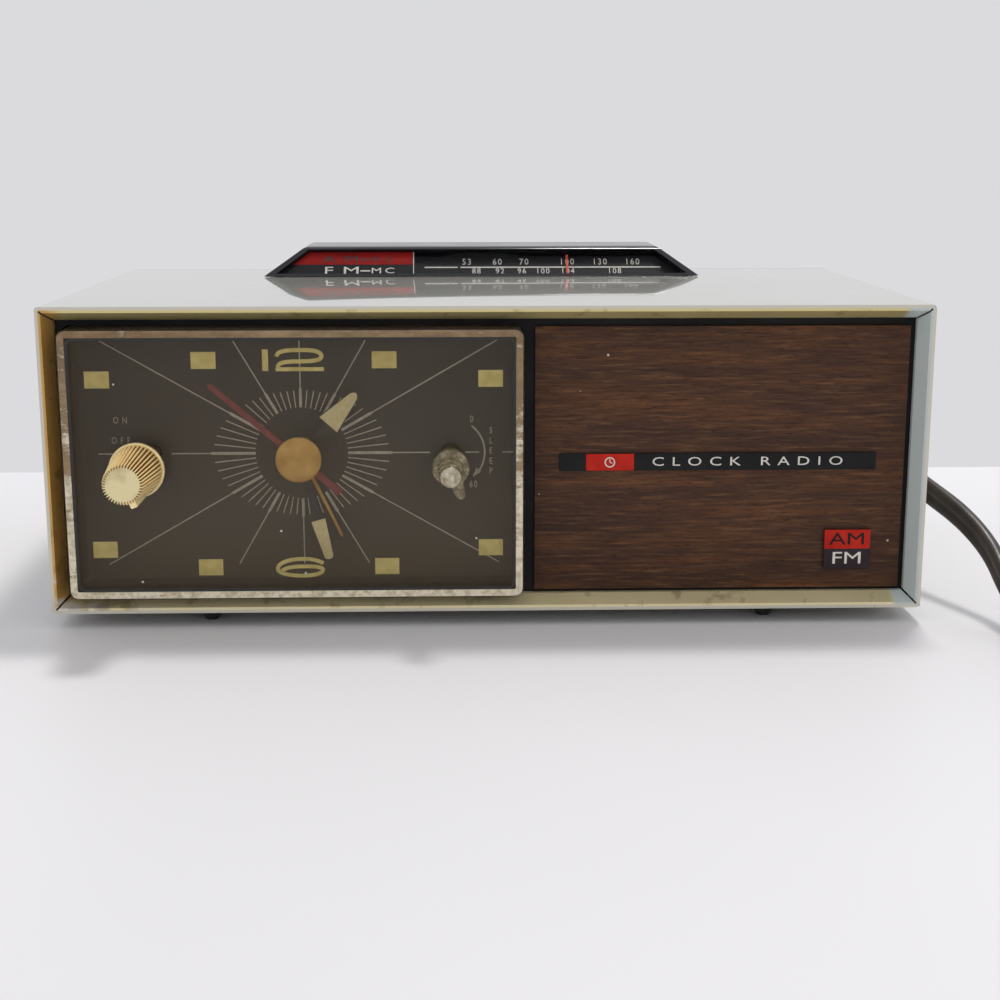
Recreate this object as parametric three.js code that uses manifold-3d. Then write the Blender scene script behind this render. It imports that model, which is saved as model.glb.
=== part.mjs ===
// A mains AM/FM clock radio: a folded-metal cabinet with an electric alarm clock on the left, a
// wood-grain panel on the right and a tuning hood on top. Millimetres, +X right, +Y back, +Z up.
// Everything is placed from the cabinet's front plane, centre line and underside, and the whole
// model is then moved so that its origin is the middle of its footprint at the table.
import * as THREE from 'three';
import { mergeVertices } from 'three/addons/utils/BufferGeometryUtils.js';
import Module from 'manifold-3d';

const wasm = await Module();
wasm.setup();

// ---- driving dimensions ----------------------------------------------------------------------
const CLEAR = 0.3; // gap between neighbouring pieces
const RUNNING = 0.4; // gap round a turning shaft

// cabinet
const WIDTH = 290;
const HEIGHT = 101.6;
const DEPTH = 161.7;
const WALL = 1.9;
const FLANGE_IN = 4.6; // how far the front flanges reach in
const FLANGE_BACK = 5.3; // and how far back they slope
const FLANGE_SHEET = 2.2; // flange thickness measured front to back
const MITRE_GAP = 0.6;
const FOOT_HEIGHT = 5;
const FOOT_TOP = 4.5;
const FOOT_BOTTOM = 2.5;
const FOOT_X = 94;
const FOOT_FRONT_Y = 11;
const FOOT_REAR_Y = 146;

// clock front
const CRYSTAL_LEFT = -138.6;
const CRYSTAL_RIGHT = 11.5;
const CRYSTAL_LOW = 5.1;
const CRYSTAL_HIGH = 94.6;
const CRYSTAL_FRONT = -1.5;
const CRYSTAL_BACK = 19.5;
const CRYSTAL_FACE = 2.2;
const CRYSTAL_WALL = 1.8;
const CRYSTAL_CORNER = 3;
const DIAL_FRONT = 20;
const DIAL_SHEET = 1;
const CLOCK_X = -63;
const CLOCK_Z = 50.2;
const MODE_X = -113.2;
const SLEEP_X = -12.6;

// wood panel, strip and badge
const PANEL_LEFT = 15.2;
const PANEL_RIGHT = 138.7;
const PANEL_LOW = 5.6;
const PANEL_HIGH = 94.3;
const PANEL_SHEET = 1.2;
const STRIP_LEFT = 23.3;
const STRIP_RIGHT = 128.9;
const STRIP_LOW = 46.4;
const STRIP_HIGH = 52.2;
const BADGE_LEFT = 112.8;
const BADGE_RIGHT = 128.4;
const BADGE_LOW = 12.3;
const BADGE_HIGH = 25.8;
const TRIM_SHEET = 0.8;

// clock movement: where each plane of pieces starts and ends, front to back
const SHAFT_R = 0.8;
const TUBE_BORES = [1.2, 2.3, 3.4]; // minute, hour and alarm tubes
const TUBE_OUTSIDES = [1.9, 3.0, 4.1];
const DIAL_HOLE = 4.6;
const PLATE_FRONT = 24;
const PLATE_REAR = 50;
const PLATE_SHEET = 1;
const ALARM_PLANE = [27, 28.2];
const HOUR_PLANE = [30, 31.2];
const MOTION_PLANE = [33, 35.5];
const SECOND_PLANE = [42, 43.2];
const SETTING_MODULE = 0.5;
const PINION_TEETH = 12;
const WHEEL_TEETH = 36;
const SMALL_PINION_TEETH = 10;
const HOUR_TEETH = 40;
const SECOND_TEETH = 30;
const SETTING_CENTRES = (SETTING_MODULE * (PINION_TEETH + WHEEL_TEETH)) / 2;
const HOUR_MODULE = (2 * SETTING_CENTRES) / (SMALL_PINION_TEETH + HOUR_TEETH);
const SECOND_CENTRES = (SETTING_MODULE * (SMALL_PINION_TEETH + SECOND_TEETH)) / 2;
const ARBOR_R = 1.2;
const SET_KNOB_R = 7;
const SET_KNOB_LENGTH = 8;
const MOTOR_R = 20;
const MOTOR_LENGTH = 22;

// tuning hood
const HOOD_FRONT = 119;
const HOOD_RISE = 11.2;
const HOOD_LEAN = 10;
const HOOD_BASE = 85.4; // half width at the cabinet top
const HOOD_RIDGE = 70; // half width along the ridge
const HOOD_BACK = 160;
const HOOD_WALL = 1.6;
const WINDOW_BORDER = 1.5;
const WINDOW_SHEET = 1;
const SCALE_SHEET = 0.6;
const SCALE_DEPTH = 3;
const POINTER_X = 33.8;
const POINTER_SLOT_Y = [121.2, 123.8];
const POINTER_TRAVEL = [-42, 28];

// side controls
const CONTROL_Z = 70;
const TUNING_Y = 60;
const DRUM_Y = 90;
const VOLUME_Y = 120;
const DRUM_R = 22.3;
const SPINDLE_R = DRUM_R / 3;
const CONTROL_SHAFT_R = 3;
const TUNING_KNOB_R = 12;
const VOLUME_KNOB_R = 10;
const KNOB_OUT = 10; // how far the side knobs stand out
const BAND_Y = 90;
const BAND_TRAVEL = 6;

// radio
const CHASSIS_TOP = 42;
const BOARD_LEFT = 15;
const BOARD_RIGHT = 138;
const SPEAKER_X = 75;
const SPEAKER_Y = 95;
const SPEAKER_R = 38;

// mains cord
const CORD_WIDTH = 8.8; // a flat twin flex that stands on its edge
const COIL_OUT = 93.7; // the coil's centre, out from the cabinet's side
const COIL_Y = -33;
const COIL_MIDDLE_R = 45;
const COIL_TURNS_ACROSS = 3;
const COIL_LAYERS = 2;

// ---- solids ----------------------------------------------------------------------------------
function toSolid(geometry) {
  const bare = geometry.clone();
  bare.deleteAttribute('normal');
  bare.deleteAttribute('uv');
  const merged = mergeVertices(bare);
  const index = merged.index.array;
  const triangles = [];
  for (let i = 0; i < index.length; i += 3) {
    const [a, b, c] = [index[i], index[i + 1], index[i + 2]];
    if (a !== b && b !== c && c !== a) triangles.push(a, b, c);
  }
  const vertProperties = merged.attributes.position.array;
  const mesh = new wasm.Mesh({ numProp: 3, vertProperties, triVerts: Uint32Array.from(triangles) });
  return new wasm.Manifold(mesh);
}

function toGeometry(solid) {
  const mesh = solid.getMesh();
  const geometry = new THREE.BufferGeometry();
  geometry.setAttribute('position', new THREE.BufferAttribute(mesh.vertProperties, 3));
  geometry.setIndex(new THREE.BufferAttribute(mesh.triVerts, 1));
  geometry.computeVertexNormals();
  return geometry;
}

function join(...geometries) {
  return toGeometry(geometries.map(toSolid).reduce((sum, next) => sum.add(next)));
}

function cut(geometry, ...tools) {
  return toGeometry(tools.map(toSolid).reduce((rest, tool) => rest.subtract(tool), toSolid(geometry)));
}

function block(x0, x1, y0, y1, z0, z1) {
  const geometry = new THREE.BoxGeometry(x1 - x0, y1 - y0, z1 - z0);
  return geometry.translate((x0 + x1) / 2, (y0 + y1) / 2, (z0 + z1) / 2);
}

// A box whose front (y0) and back (y1) faces have their own half sizes.
function taper(front, back, y0, y1, z) {
  const geometry = new THREE.BoxGeometry(2, 2, 2);
  const points = geometry.attributes.position;
  for (let i = 0; i < points.count; i += 1) {
    const isBack = points.getY(i) > 0;
    const [halfX, halfZ] = isBack ? back : front;
    points.setXYZ(i, points.getX(i) * halfX, isBack ? y1 : y0, z + points.getZ(i) * halfZ);
  }
  return geometry;
}

// A profile of [radius, height] pairs turned about Y, X or Z.
function turned(profile, segments = 20, axis = 'y') {
  const points = profile.map(([radius, height]) => new THREE.Vector2(radius, height));
  const geometry = new THREE.LatheGeometry(points, segments);
  if (axis === 'x') geometry.rotateZ(-Math.PI / 2);
  if (axis === 'z') geometry.rotateX(Math.PI / 2);
  return geometry;
}

function rod(radius, from, to, segments = 20, axis = 'y') {
  return turned([[0, from], [radius, from], [radius, to], [0, to]], segments, axis);
}

function tube(bore, outside, from, to, segments = 20, axis = 'y') {
  const profile = [[bore, from], [outside, from], [outside, to], [bore, to], [bore, from]];
  return turned(profile, segments, axis);
}

// An outline in X and Z, from y0 back to y1.
function plate(shape, y0, y1, curveSegments = 8) {
  const settings = { depth: y1 - y0, bevelEnabled: false, curveSegments };
  return new THREE.ExtrudeGeometry(shape, settings).rotateX(Math.PI / 2).translate(0, y1, 0);
}

function outline(points) {
  return new THREE.Shape(points.map(([x, y]) => new THREE.Vector2(x, y)));
}

function roundedOutline(x0, x1, z0, z1, radius) {
  const shape = new THREE.Shape();
  shape.moveTo(x0 + radius, z0);
  shape.lineTo(x1 - radius, z0);
  shape.absarc(x1 - radius, z0 + radius, radius, -Math.PI / 2, 0);
  shape.lineTo(x1, z1 - radius);
  shape.absarc(x1 - radius, z1 - radius, radius, 0, Math.PI / 2);
  shape.lineTo(x0 + radius, z1);
  shape.absarc(x0 + radius, z1 - radius, radius, Math.PI / 2, Math.PI);
  shape.lineTo(x0, z0 + radius);
  shape.absarc(x0 + radius, z0 + radius, radius, Math.PI, Math.PI * 1.5);
  return shape;
}

// A spur gear about Y, with one tooth pointing at the angle phase (from +X towards +Z).
function gear(teeth, module, phase, [y0, y1], bore) {
  const pitchR = (teeth * module) / 2;
  const rootR = pitchR - 1.15 * module;
  const tipR = pitchR + 0.7 * module;
  const step = (2 * Math.PI) / teeth;
  const points = [];
  for (let tooth = 0; tooth < teeth; tooth += 1) {
    const middle = phase + tooth * step;
    for (const [radius, share] of [[rootR, -0.29], [tipR, -0.11], [tipR, 0.11], [rootR, 0.29]]) {
      const angle = middle + share * step;
      points.push([radius * Math.cos(angle), radius * Math.sin(angle)]);
    }
  }
  const shape = outline(points);
  if (bore) {
    const hole = new THREE.Path();
    hole.absarc(0, 0, bore, 0, 2 * Math.PI, true);
    shape.holes.push(hole);
  }
  return plate(shape, y0, y1, 10);
}

// The phase that brings a gap of the second gear to a tooth of the first.
function meshPhase(direction, teeth) {
  return direction + Math.PI + Math.PI / teeth;
}

// ---- the model -------------------------------------------------------------------------------
const radio = new THREE.Group();

const FINISHES = {
  cabinetPaint: { color: 0xc9c7bd, roughness: 0.35, metalness: 0.1 },
  blackPlastic: { color: 0x16171b, roughness: 0.3, metalness: 0 },
  walnut: { color: 0x4a3428, roughness: 0.6, metalness: 0 },
  redPlastic: { color: 0xc4302a, roughness: 0.4, metalness: 0 },
  clear: { color: 0xcfcab8, roughness: 0.1, metalness: 0 },
  dialPaint: { color: 0x453d34, roughness: 0.7, metalness: 0 },
  gold: { color: 0xd9b25f, roughness: 0.3, metalness: 1 },
  lume: { color: 0xb09a58, roughness: 0.6, metalness: 0 },
  redPaint: { color: 0x7a3230, roughness: 0.5, metalness: 0 },
  brass: { color: 0xb08a46, roughness: 0.35, metalness: 1 },
  steel: { color: 0x9a9c9e, roughness: 0.35, metalness: 1 },
  board: { color: 0x7a5a34, roughness: 0.7, metalness: 0 },
  fibre: { color: 0x2d2823, roughness: 0.8, metalness: 0 },
  paper: { color: 0x2a2725, roughness: 0.9, metalness: 0 },
  rubber: { color: 0x1b1b1b, roughness: 0.8, metalness: 0 },
  cordPlastic: { color: 0x3a322c, roughness: 0.5, metalness: 0 },
};

function add(name, geometry, finish, [x, y, z] = [0, 0, 0], parent = radio) {
  const mesh = new THREE.Mesh(geometry, new THREE.MeshStandardMaterial(FINISHES[finish]));
  mesh.name = name;
  mesh.position.set(x, y, z);
  parent.add(mesh);
  return mesh;
}

// ---- cabinet ---------------------------------------------------------------------------------
const HALF_WIDTH = WIDTH / 2;
const MIDDLE_Z = HEIGHT / 2;

function halfSizes(inset) {
  return [HALF_WIDTH - inset, MIDDLE_Z - inset];
}

function sleeveGeometry() {
  const beyond = 5;
  const lip = halfSizes(WALL);
  const inner = halfSizes(FLANGE_IN);
  const slopeEnd = FLANGE_BACK + FLANGE_SHEET;
  const shell = block(-HALF_WIDTH, HALF_WIDTH, 0, DEPTH, 0, HEIGHT);
  const walls = cut(shell, taper(lip, lip, -beyond, DEPTH + beyond, MIDDLE_Z));
  const sheet = join(
    taper(halfSizes(WALL - 0.1), halfSizes(WALL - 0.1), 0, FLANGE_SHEET, MIDDLE_Z),
    taper(halfSizes(WALL - 0.1), inner, FLANGE_SHEET, slopeEnd, MIDDLE_Z),
  );
  const flange = cut(
    sheet,
    taper(lip, inner, 0, FLANGE_BACK, MIDDLE_Z),
    taper(lip, lip, -beyond, 0.01, MIDDLE_Z),
    taper(inner, inner, FLANGE_BACK - 0.01, slopeEnd + beyond, MIDDLE_Z),
  );
  const mitres = [];
  for (const sideX of [-1, 1]) {
    for (const sideZ of [-1, 1]) {
      const slitLength = 6;
      const slit = new THREE.BoxGeometry(slitLength, slopeEnd + 2, MITRE_GAP);
      slit.rotateY(-sideX * sideZ * (Math.PI / 4));
      const reach = WALL * 0.7 + slitLength * 0.354;
      slit.translate(sideX * (HALF_WIDTH - reach), slopeEnd / 2, MIDDLE_Z + sideZ * (MIDDLE_Z - reach));
      mitres.push(slit);
    }
  }
  const slots = [];
  const slotCount = 7;
  const slotPitch = 8;
  for (let i = 0; i < slotCount; i += 1) {
    const x = SPEAKER_X + (i - (slotCount - 1) / 2) * slotPitch;
    slots.push(block(x - 1.5, x + 1.5, SPEAKER_Y - 20, SPEAKER_Y + 20, -1, WALL + 1));
  }
  const wallX = HALF_WIDTH - WALL / 2;
  const shaftHole = rod(CONTROL_SHAFT_R + RUNNING, -WALL, WALL, 20, 'x');
  return cut(
    join(walls, flange),
    ...mitres,
    ...slots,
    shaftHole.clone().translate(wallX, TUNING_Y, CONTROL_Z),
    shaftHole.clone().translate(wallX, VOLUME_Y, CONTROL_Z),
    block(wallX - WALL, wallX + WALL, BAND_Y - 7, BAND_Y + 7, CONTROL_Z - 2.4, CONTROL_Z + 2.4),
    block(
      POINTER_X + POINTER_TRAVEL[0] - 2, POINTER_X + POINTER_TRAVEL[1] + 2,
      ...POINTER_SLOT_Y, HEIGHT - WALL - 1, HEIGHT + 1,
    ),
  );
}
add('cabinet_sleeve', sleeveGeometry(), 'cabinetPaint');

const BAFFLE_FRONT = FLANGE_BACK + FLANGE_SHEET + CLEAR;
const BAFFLE_SHEET = 2.5;
const COLLAR_WALL = 2;
const COLLAR_BACK = CRYSTAL_BACK - 1;

function baffleGeometry() {
  const edge = WALL + CLEAR;
  const collar = CLEAR + COLLAR_WALL;
  const backFrom = BAFFLE_FRONT + BAFFLE_SHEET;
  const sheet = block(
    -HALF_WIDTH + edge, HALF_WIDTH - edge, BAFFLE_FRONT, backFrom, edge, HEIGHT - edge,
  );
  const frame = block(
    CRYSTAL_LEFT - collar, CRYSTAL_RIGHT + collar,
    BAFFLE_FRONT, COLLAR_BACK,
    CRYSTAL_LOW - collar, CRYSTAL_HIGH + collar,
  );
  const opening = plate(
    roundedOutline(
      CRYSTAL_LEFT - CLEAR, CRYSTAL_RIGHT + CLEAR,
      CRYSTAL_LOW - CLEAR, CRYSTAL_HIGH + CLEAR, CRYSTAL_CORNER,
    ),
    0, DIAL_FRONT + 5,
  );
  return cut(join(sheet, frame), opening);
}
add('front_baffle', baffleGeometry(), 'blackPlastic');

const PANEL_BACK = BAFFLE_FRONT - CLEAR;
const PANEL_FRONT = PANEL_BACK - PANEL_SHEET;
const woodPanel = block(PANEL_LEFT, PANEL_RIGHT, PANEL_FRONT, PANEL_BACK, PANEL_LOW, PANEL_HIGH);
add('woodgrain_panel', woodPanel, 'walnut');

const TRIM_BACK = PANEL_FRONT - CLEAR;
const TRIM_FRONT = TRIM_BACK - TRIM_SHEET;
const nameStrip = block(STRIP_LEFT, STRIP_RIGHT, TRIM_FRONT, TRIM_BACK, STRIP_LOW, STRIP_HIGH);
add('name_strip', nameStrip, 'blackPlastic');
add('band_badge', block(BADGE_LEFT, BADGE_RIGHT, TRIM_FRONT, TRIM_BACK, BADGE_LOW, BADGE_HIGH), 'redPlastic');

for (const [side, sideX] of [['left', -1], ['right', 1]]) {
  for (const [end, y] of [['front', FOOT_FRONT_Y], ['rear', FOOT_REAR_Y]]) {
    const profile = [[0, -FOOT_HEIGHT], [FOOT_BOTTOM, -FOOT_HEIGHT], [FOOT_TOP, -CLEAR], [0, -CLEAR]];
    const cone = turned(profile, 20, 'z');
    add(`foot_${end}_${side}`, cone, 'rubber', [sideX * FOOT_X, y, 0]);
  }
}

// ---- back cover ------------------------------------------------------------------------------
const COVER_SHEET = 1.8;
const COVER_BACK = DEPTH - 1;
const COVER_FRONT = COVER_BACK - COVER_SHEET;
const CORD_EXIT_X = 90;
const CORD_EXIT_Z = 36;
const RELIEF_R = 6;
const RELIEF_LENGTH = 24;
const TIME_SET = [CLOCK_X, CLOCK_Z - SETTING_CENTRES];
const ALARM_SET = [CLOCK_X + SETTING_CENTRES, CLOCK_Z];
const SCREW_X = 132;
const SCREW_R = 1.6;

function coverGeometry() {
  const edge = WALL + CLEAR;
  const sheet = block(-HALF_WIDTH + edge, HALF_WIDTH - edge, COVER_FRONT, COVER_BACK, edge, HEIGHT - edge);
  const holes = [];
  for (const [x, z] of [TIME_SET, ALARM_SET]) {
    holes.push(rod(ARBOR_R + RUNNING, COVER_FRONT - 1, COVER_BACK + 1, 16).translate(x, 0, z));
  }
  for (const sideX of [-1, 1]) {
    const hole = rod(SCREW_R + CLEAR, COVER_FRONT - 1, COVER_BACK + 1, 12);
    holes.push(hole.translate(sideX * SCREW_X, 0, MIDDLE_Z));
  }
  const cordHole = rod(RELIEF_R + CLEAR, COVER_FRONT - 1, COVER_BACK + 1, 16);
  holes.push(cordHole.translate(CORD_EXIT_X, 0, CORD_EXIT_Z));
  const ventCount = 9;
  const ventPitch = 9;
  for (const middleX of [-70, 60]) {
    for (let i = 0; i < ventCount; i += 1) {
      const x = middleX + (i - (ventCount - 1) / 2) * ventPitch;
      holes.push(block(x - 1.5, x + 1.5, COVER_FRONT - 1, COVER_BACK + 1, HEIGHT - 34, HEIGHT - 10));
    }
  }
  return cut(sheet, ...holes);
}
add('back_cover', coverGeometry(), 'fibre');

for (const [side, sideX] of [['left', -1], ['right', 1]]) {
  const screw = turned([
    [0, COVER_FRONT - 6], [SCREW_R, COVER_FRONT - 6], [SCREW_R, COVER_BACK + CLEAR],
    [3.4, COVER_BACK + CLEAR], [2.6, COVER_BACK + 2], [0, COVER_BACK + 2.4],
  ], 12);
  add(`cover_screw_${side}`, screw, 'steel', [sideX * SCREW_X, 0, MIDDLE_Z]);
}

// ---- clock front -----------------------------------------------------------------------------
const SHAFT_HOLE_R = 3.2;

function crystalGeometry() {
  const body = plate(
    roundedOutline(CRYSTAL_LEFT, CRYSTAL_RIGHT, CRYSTAL_LOW, CRYSTAL_HIGH, CRYSTAL_CORNER),
    CRYSTAL_FRONT, CRYSTAL_BACK,
  );
  const inside = plate(
    roundedOutline(
      CRYSTAL_LEFT + CRYSTAL_WALL, CRYSTAL_RIGHT - CRYSTAL_WALL,
      CRYSTAL_LOW + CRYSTAL_WALL, CRYSTAL_HIGH - CRYSTAL_WALL, CRYSTAL_CORNER - CRYSTAL_WALL,
    ),
    CRYSTAL_FRONT + CRYSTAL_FACE, CRYSTAL_BACK + 2,
  );
  const holes = [MODE_X, SLEEP_X].map((x) => {
    const hole = rod(SHAFT_HOLE_R, CRYSTAL_FRONT - 1, CRYSTAL_FRONT + CRYSTAL_FACE + 1, 20);
    return hole.translate(x, 0, CLOCK_Z);
  });
  return cut(body, inside, ...holes);
}
add('clock_crystal', crystalGeometry(), 'clear');

function clockHoles(y0, y1) {
  return [
    rod(DIAL_HOLE, y0, y1, 24).translate(CLOCK_X, 0, CLOCK_Z),
    rod(SHAFT_HOLE_R, y0, y1, 20).translate(MODE_X, 0, CLOCK_Z),
    rod(SHAFT_HOLE_R, y0, y1, 20).translate(SLEEP_X, 0, CLOCK_Z),
  ];
}

const DIAL_BACK = DIAL_FRONT + DIAL_SHEET;
const dialSheet = block(
  CRYSTAL_LEFT - COLLAR_WALL, CRYSTAL_RIGHT + COLLAR_WALL,
  DIAL_FRONT, DIAL_BACK,
  CRYSTAL_LOW - COLLAR_WALL, CRYSTAL_HIGH + COLLAR_WALL,
);
add('clock_dial', cut(dialSheet, ...clockHoles(DIAL_FRONT - 1, DIAL_BACK + 1)), 'dialPaint');

// Mode knob: a tapered, serrated cap on a skirt ring, with a pointer fin low on the right.
const MODE_KNOB_BACK = -7.5;
const MODE_KNOB_FRONT = -32;
const MODE_KNOB_REAR_R = 8.9;
const MODE_KNOB_FRONT_R = 6.15;
const MODE_SERRATIONS = 40;
const SHAFT_END = 33;

function serrated(frontR, backR, y0, y1, count) {
  const depth = 0.7;
  const geometry = new THREE.CylinderGeometry(backR, frontR, y1 - y0, count * 2);
  geometry.translate(0, (y0 + y1) / 2, 0);
  const points = geometry.attributes.position;
  for (let i = 0; i < points.count; i += 1) {
    const radius = Math.hypot(points.getX(i), points.getZ(i));
    const turn = Math.round((Math.atan2(points.getZ(i), points.getX(i)) / Math.PI) * count);
    if (radius > 1 && turn % 2 !== 0) {
      const scale = (radius - depth) / radius;
      points.setXYZ(i, points.getX(i) * scale, points.getY(i), points.getZ(i) * scale);
    }
  }
  return geometry;
}

function modeKnobGeometry() {
  const stemR = SHAFT_HOLE_R - RUNNING;
  const rimBack = MODE_KNOB_BACK - 2;
  const fin = block(0, MODE_KNOB_REAR_R - 0.6, MODE_KNOB_FRONT + 2, rimBack, -1.1, 1.1);
  return join(
    serrated(MODE_KNOB_FRONT_R, MODE_KNOB_REAR_R - 0.5, MODE_KNOB_FRONT, rimBack + 0.2, MODE_SERRATIONS),
    rod(MODE_KNOB_REAR_R, rimBack, MODE_KNOB_BACK, 32),
    rod(stemR, MODE_KNOB_BACK - 1, SHAFT_END, 16),
    fin.rotateY(THREE.MathUtils.degToRad(68)),
  );
}
add('mode_knob', modeKnobGeometry(), 'gold', [MODE_X, 0, CLOCK_Z]);

// Sleep lever: a stepped clear plastic boss with a short tip, and a bright cap let into its face.
const SLEEP_SKIRT_FRONT = -9.5;
const SLEEP_BOSS_FRONT = -23;
const SLEEP_TIP_REACH = 10.9;
const SLEEP_TIP_TURN = 70; // below the +X direction, in degrees

function sleepLeverGeometry() {
  const stemR = SHAFT_HOLE_R - RUNNING;
  const taperEnd = SLEEP_TIP_REACH - 1.2;
  const tip = outline([[2, -2.2], [taperEnd, -1.3], [SLEEP_TIP_REACH, 0], [taperEnd, 1.3], [2, 2.2]]);
  const body = join(
    turned([
      [0, SLEEP_BOSS_FRONT], [3.2, SLEEP_BOSS_FRONT], [3.6, SLEEP_BOSS_FRONT + 1], [3.9, SLEEP_SKIRT_FRONT],
      [6, SLEEP_SKIRT_FRONT + 0.5], [6, -5], [stemR, -5], [stemR, SHAFT_END], [0, SHAFT_END],
    ], 24),
    plate(tip, SLEEP_SKIRT_FRONT + 0.5, -5).rotateY(THREE.MathUtils.degToRad(SLEEP_TIP_TURN)),
  );
  return body;
}
add('sleep_lever', sleepLeverGeometry(), 'clear', [SLEEP_X, 0, CLOCK_Z]);

const SLEEP_CAP_BACK = SLEEP_BOSS_FRONT - CLEAR;
const sleepCap = turned([
  [0, SLEEP_CAP_BACK - 0.6], [1.6, SLEEP_CAP_BACK - 0.9], [2.8, SLEEP_CAP_BACK - 0.6],
  [2.9, SLEEP_CAP_BACK], [0, SLEEP_CAP_BACK],
], 20);
add('sleep_cap', sleepCap, 'steel', [SLEEP_X, 0, CLOCK_Z]);

// ---- clock movement --------------------------------------------------------------------------
const DOWN = -Math.PI / 2;
const MOTOR_DIRECTION = THREE.MathUtils.degToRad(135);
const CLOCK_CENTRE = [CLOCK_X, 0, CLOCK_Z];
const PLATE_LEFT = MODE_X - 11;
const PLATE_RIGHT = SLEEP_X + 11;
const PLATE_LOW = CLOCK_Z - 28;
const PLATE_HIGH = CLOCK_Z + 28;
const PILLAR_R = 2.5;
const PILLAR_INSET = 5;

function pillars(y0, y1, radius) {
  const places = [];
  for (const x of [PLATE_LEFT + PILLAR_INSET, PLATE_RIGHT - PILLAR_INSET]) {
    for (const z of [PLATE_LOW + PILLAR_INSET, PLATE_HIGH - PILLAR_INSET]) {
      places.push(rod(radius, y0, y1, 12).translate(x, 0, z));
    }
  }
  return places;
}

const arborHole = ARBOR_R + RUNNING;
const frontPlate = cut(
  join(
    block(PLATE_LEFT, PLATE_RIGHT, PLATE_FRONT, PLATE_FRONT + PLATE_SHEET, PLATE_LOW, PLATE_HIGH),
    ...pillars(PLATE_FRONT, PLATE_REAR - CLEAR, PILLAR_R),
  ),
  ...clockHoles(PLATE_FRONT - 1, PLATE_FRONT + PLATE_SHEET + 1),
);
add('movement_front_plate', frontPlate, 'brass');

const rearHoles = [TIME_SET, ALARM_SET, [CLOCK_X, CLOCK_Z]].map(([x, z]) => {
  return rod(arborHole, PLATE_REAR - 1, PLATE_REAR + PLATE_SHEET + 1, 16).translate(x, 0, z);
});
const motorPinionX = CLOCK_X + SECOND_CENTRES * Math.cos(MOTOR_DIRECTION);
const motorPinionZ = CLOCK_Z + SECOND_CENTRES * Math.sin(MOTOR_DIRECTION);
rearHoles.push(rod(arborHole, PLATE_REAR - 1, PLATE_REAR + 2, 16).translate(motorPinionX, 0, motorPinionZ));
const rearSheet = block(PLATE_LEFT, PLATE_RIGHT, PLATE_REAR, PLATE_REAR + PLATE_SHEET, PLATE_LOW, PLATE_HIGH);
add('movement_rear_plate', cut(rearSheet, ...rearHoles), 'brass');

const MOTOR_FRONT = PLATE_REAR + PLATE_SHEET + CLEAR;
const motorShaftHole = rod(arborHole, MOTOR_FRONT - 1, MOTOR_FRONT + 4, 16);
const motorX = motorPinionX - 12;
const motorZ = motorPinionZ + 8;
const motorCan = cut(
  turned([
    [0, MOTOR_FRONT], [MOTOR_R, MOTOR_FRONT], [MOTOR_R, MOTOR_FRONT + MOTOR_LENGTH - 2],
    [MOTOR_R - 2, MOTOR_FRONT + MOTOR_LENGTH], [0, MOTOR_FRONT + MOTOR_LENGTH],
  ], 24).translate(motorX, 0, motorZ),
  motorShaftHole.translate(motorPinionX, 0, motorPinionZ),
);
add('clock_motor', motorCan, 'steel');

const motorPinion = join(
  gear(SMALL_PINION_TEETH, SETTING_MODULE, meshPhase(MOTOR_DIRECTION, SMALL_PINION_TEETH), SECOND_PLANE),
  rod(ARBOR_R, SECOND_PLANE[0] - 1, MOTOR_FRONT + 3, 12),
);
add('motor_pinion', motorPinion, 'brass', [motorPinionX, 0, motorPinionZ]);

const secondWheel = join(
  gear(SECOND_TEETH, SETTING_MODULE, MOTOR_DIRECTION, SECOND_PLANE),
  rod(SHAFT_R, 8.6, PLATE_REAR + PLATE_SHEET, 12),
);
add('second_arbor', secondWheel, 'brass', CLOCK_CENTRE);

const minuteTube = join(
  tube(TUBE_BORES[0], TUBE_OUTSIDES[0], 10.4, MOTION_PLANE[1] + 1),
  gear(PINION_TEETH, SETTING_MODULE, DOWN, MOTION_PLANE, TUBE_OUTSIDES[0] - 0.3),
);
add('minute_arbor', minuteTube, 'brass', CLOCK_CENTRE);

const hourTube = join(
  tube(TUBE_BORES[1], TUBE_OUTSIDES[1], 13.4, HOUR_PLANE[1]),
  gear(HOUR_TEETH, HOUR_MODULE, DOWN, HOUR_PLANE, TUBE_OUTSIDES[1] - 0.3),
);
add('hour_wheel', hourTube, 'brass', CLOCK_CENTRE);

const alarmTube = join(
  tube(TUBE_BORES[2], TUBE_OUTSIDES[2], 16.4, ALARM_PLANE[1]),
  gear(WHEEL_TEETH, SETTING_MODULE, 0, ALARM_PLANE, TUBE_OUTSIDES[2] - 0.3),
);
add('alarm_wheel', alarmTube, 'brass', CLOCK_CENTRE);

const ARBOR_END = COVER_BACK + 3;
const motionWheel = join(
  gear(WHEEL_TEETH, SETTING_MODULE, meshPhase(DOWN, WHEEL_TEETH), MOTION_PLANE),
  gear(
    SMALL_PINION_TEETH, HOUR_MODULE, meshPhase(DOWN, SMALL_PINION_TEETH),
    [HOUR_PLANE[0], MOTION_PLANE[0] + 0.1],
  ),
  rod(ARBOR_R, HOUR_PLANE[0] - 1, ARBOR_END, 12),
);
add('motion_wheel', motionWheel, 'brass', [TIME_SET[0], 0, TIME_SET[1]]);

const alarmPinion = join(
  gear(PINION_TEETH, SETTING_MODULE, meshPhase(0, PINION_TEETH), ALARM_PLANE),
  rod(ARBOR_R, ALARM_PLANE[0] - 1, ARBOR_END, 12),
);
add('alarm_pinion', alarmPinion, 'brass', [ALARM_SET[0], 0, ALARM_SET[1]]);

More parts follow.
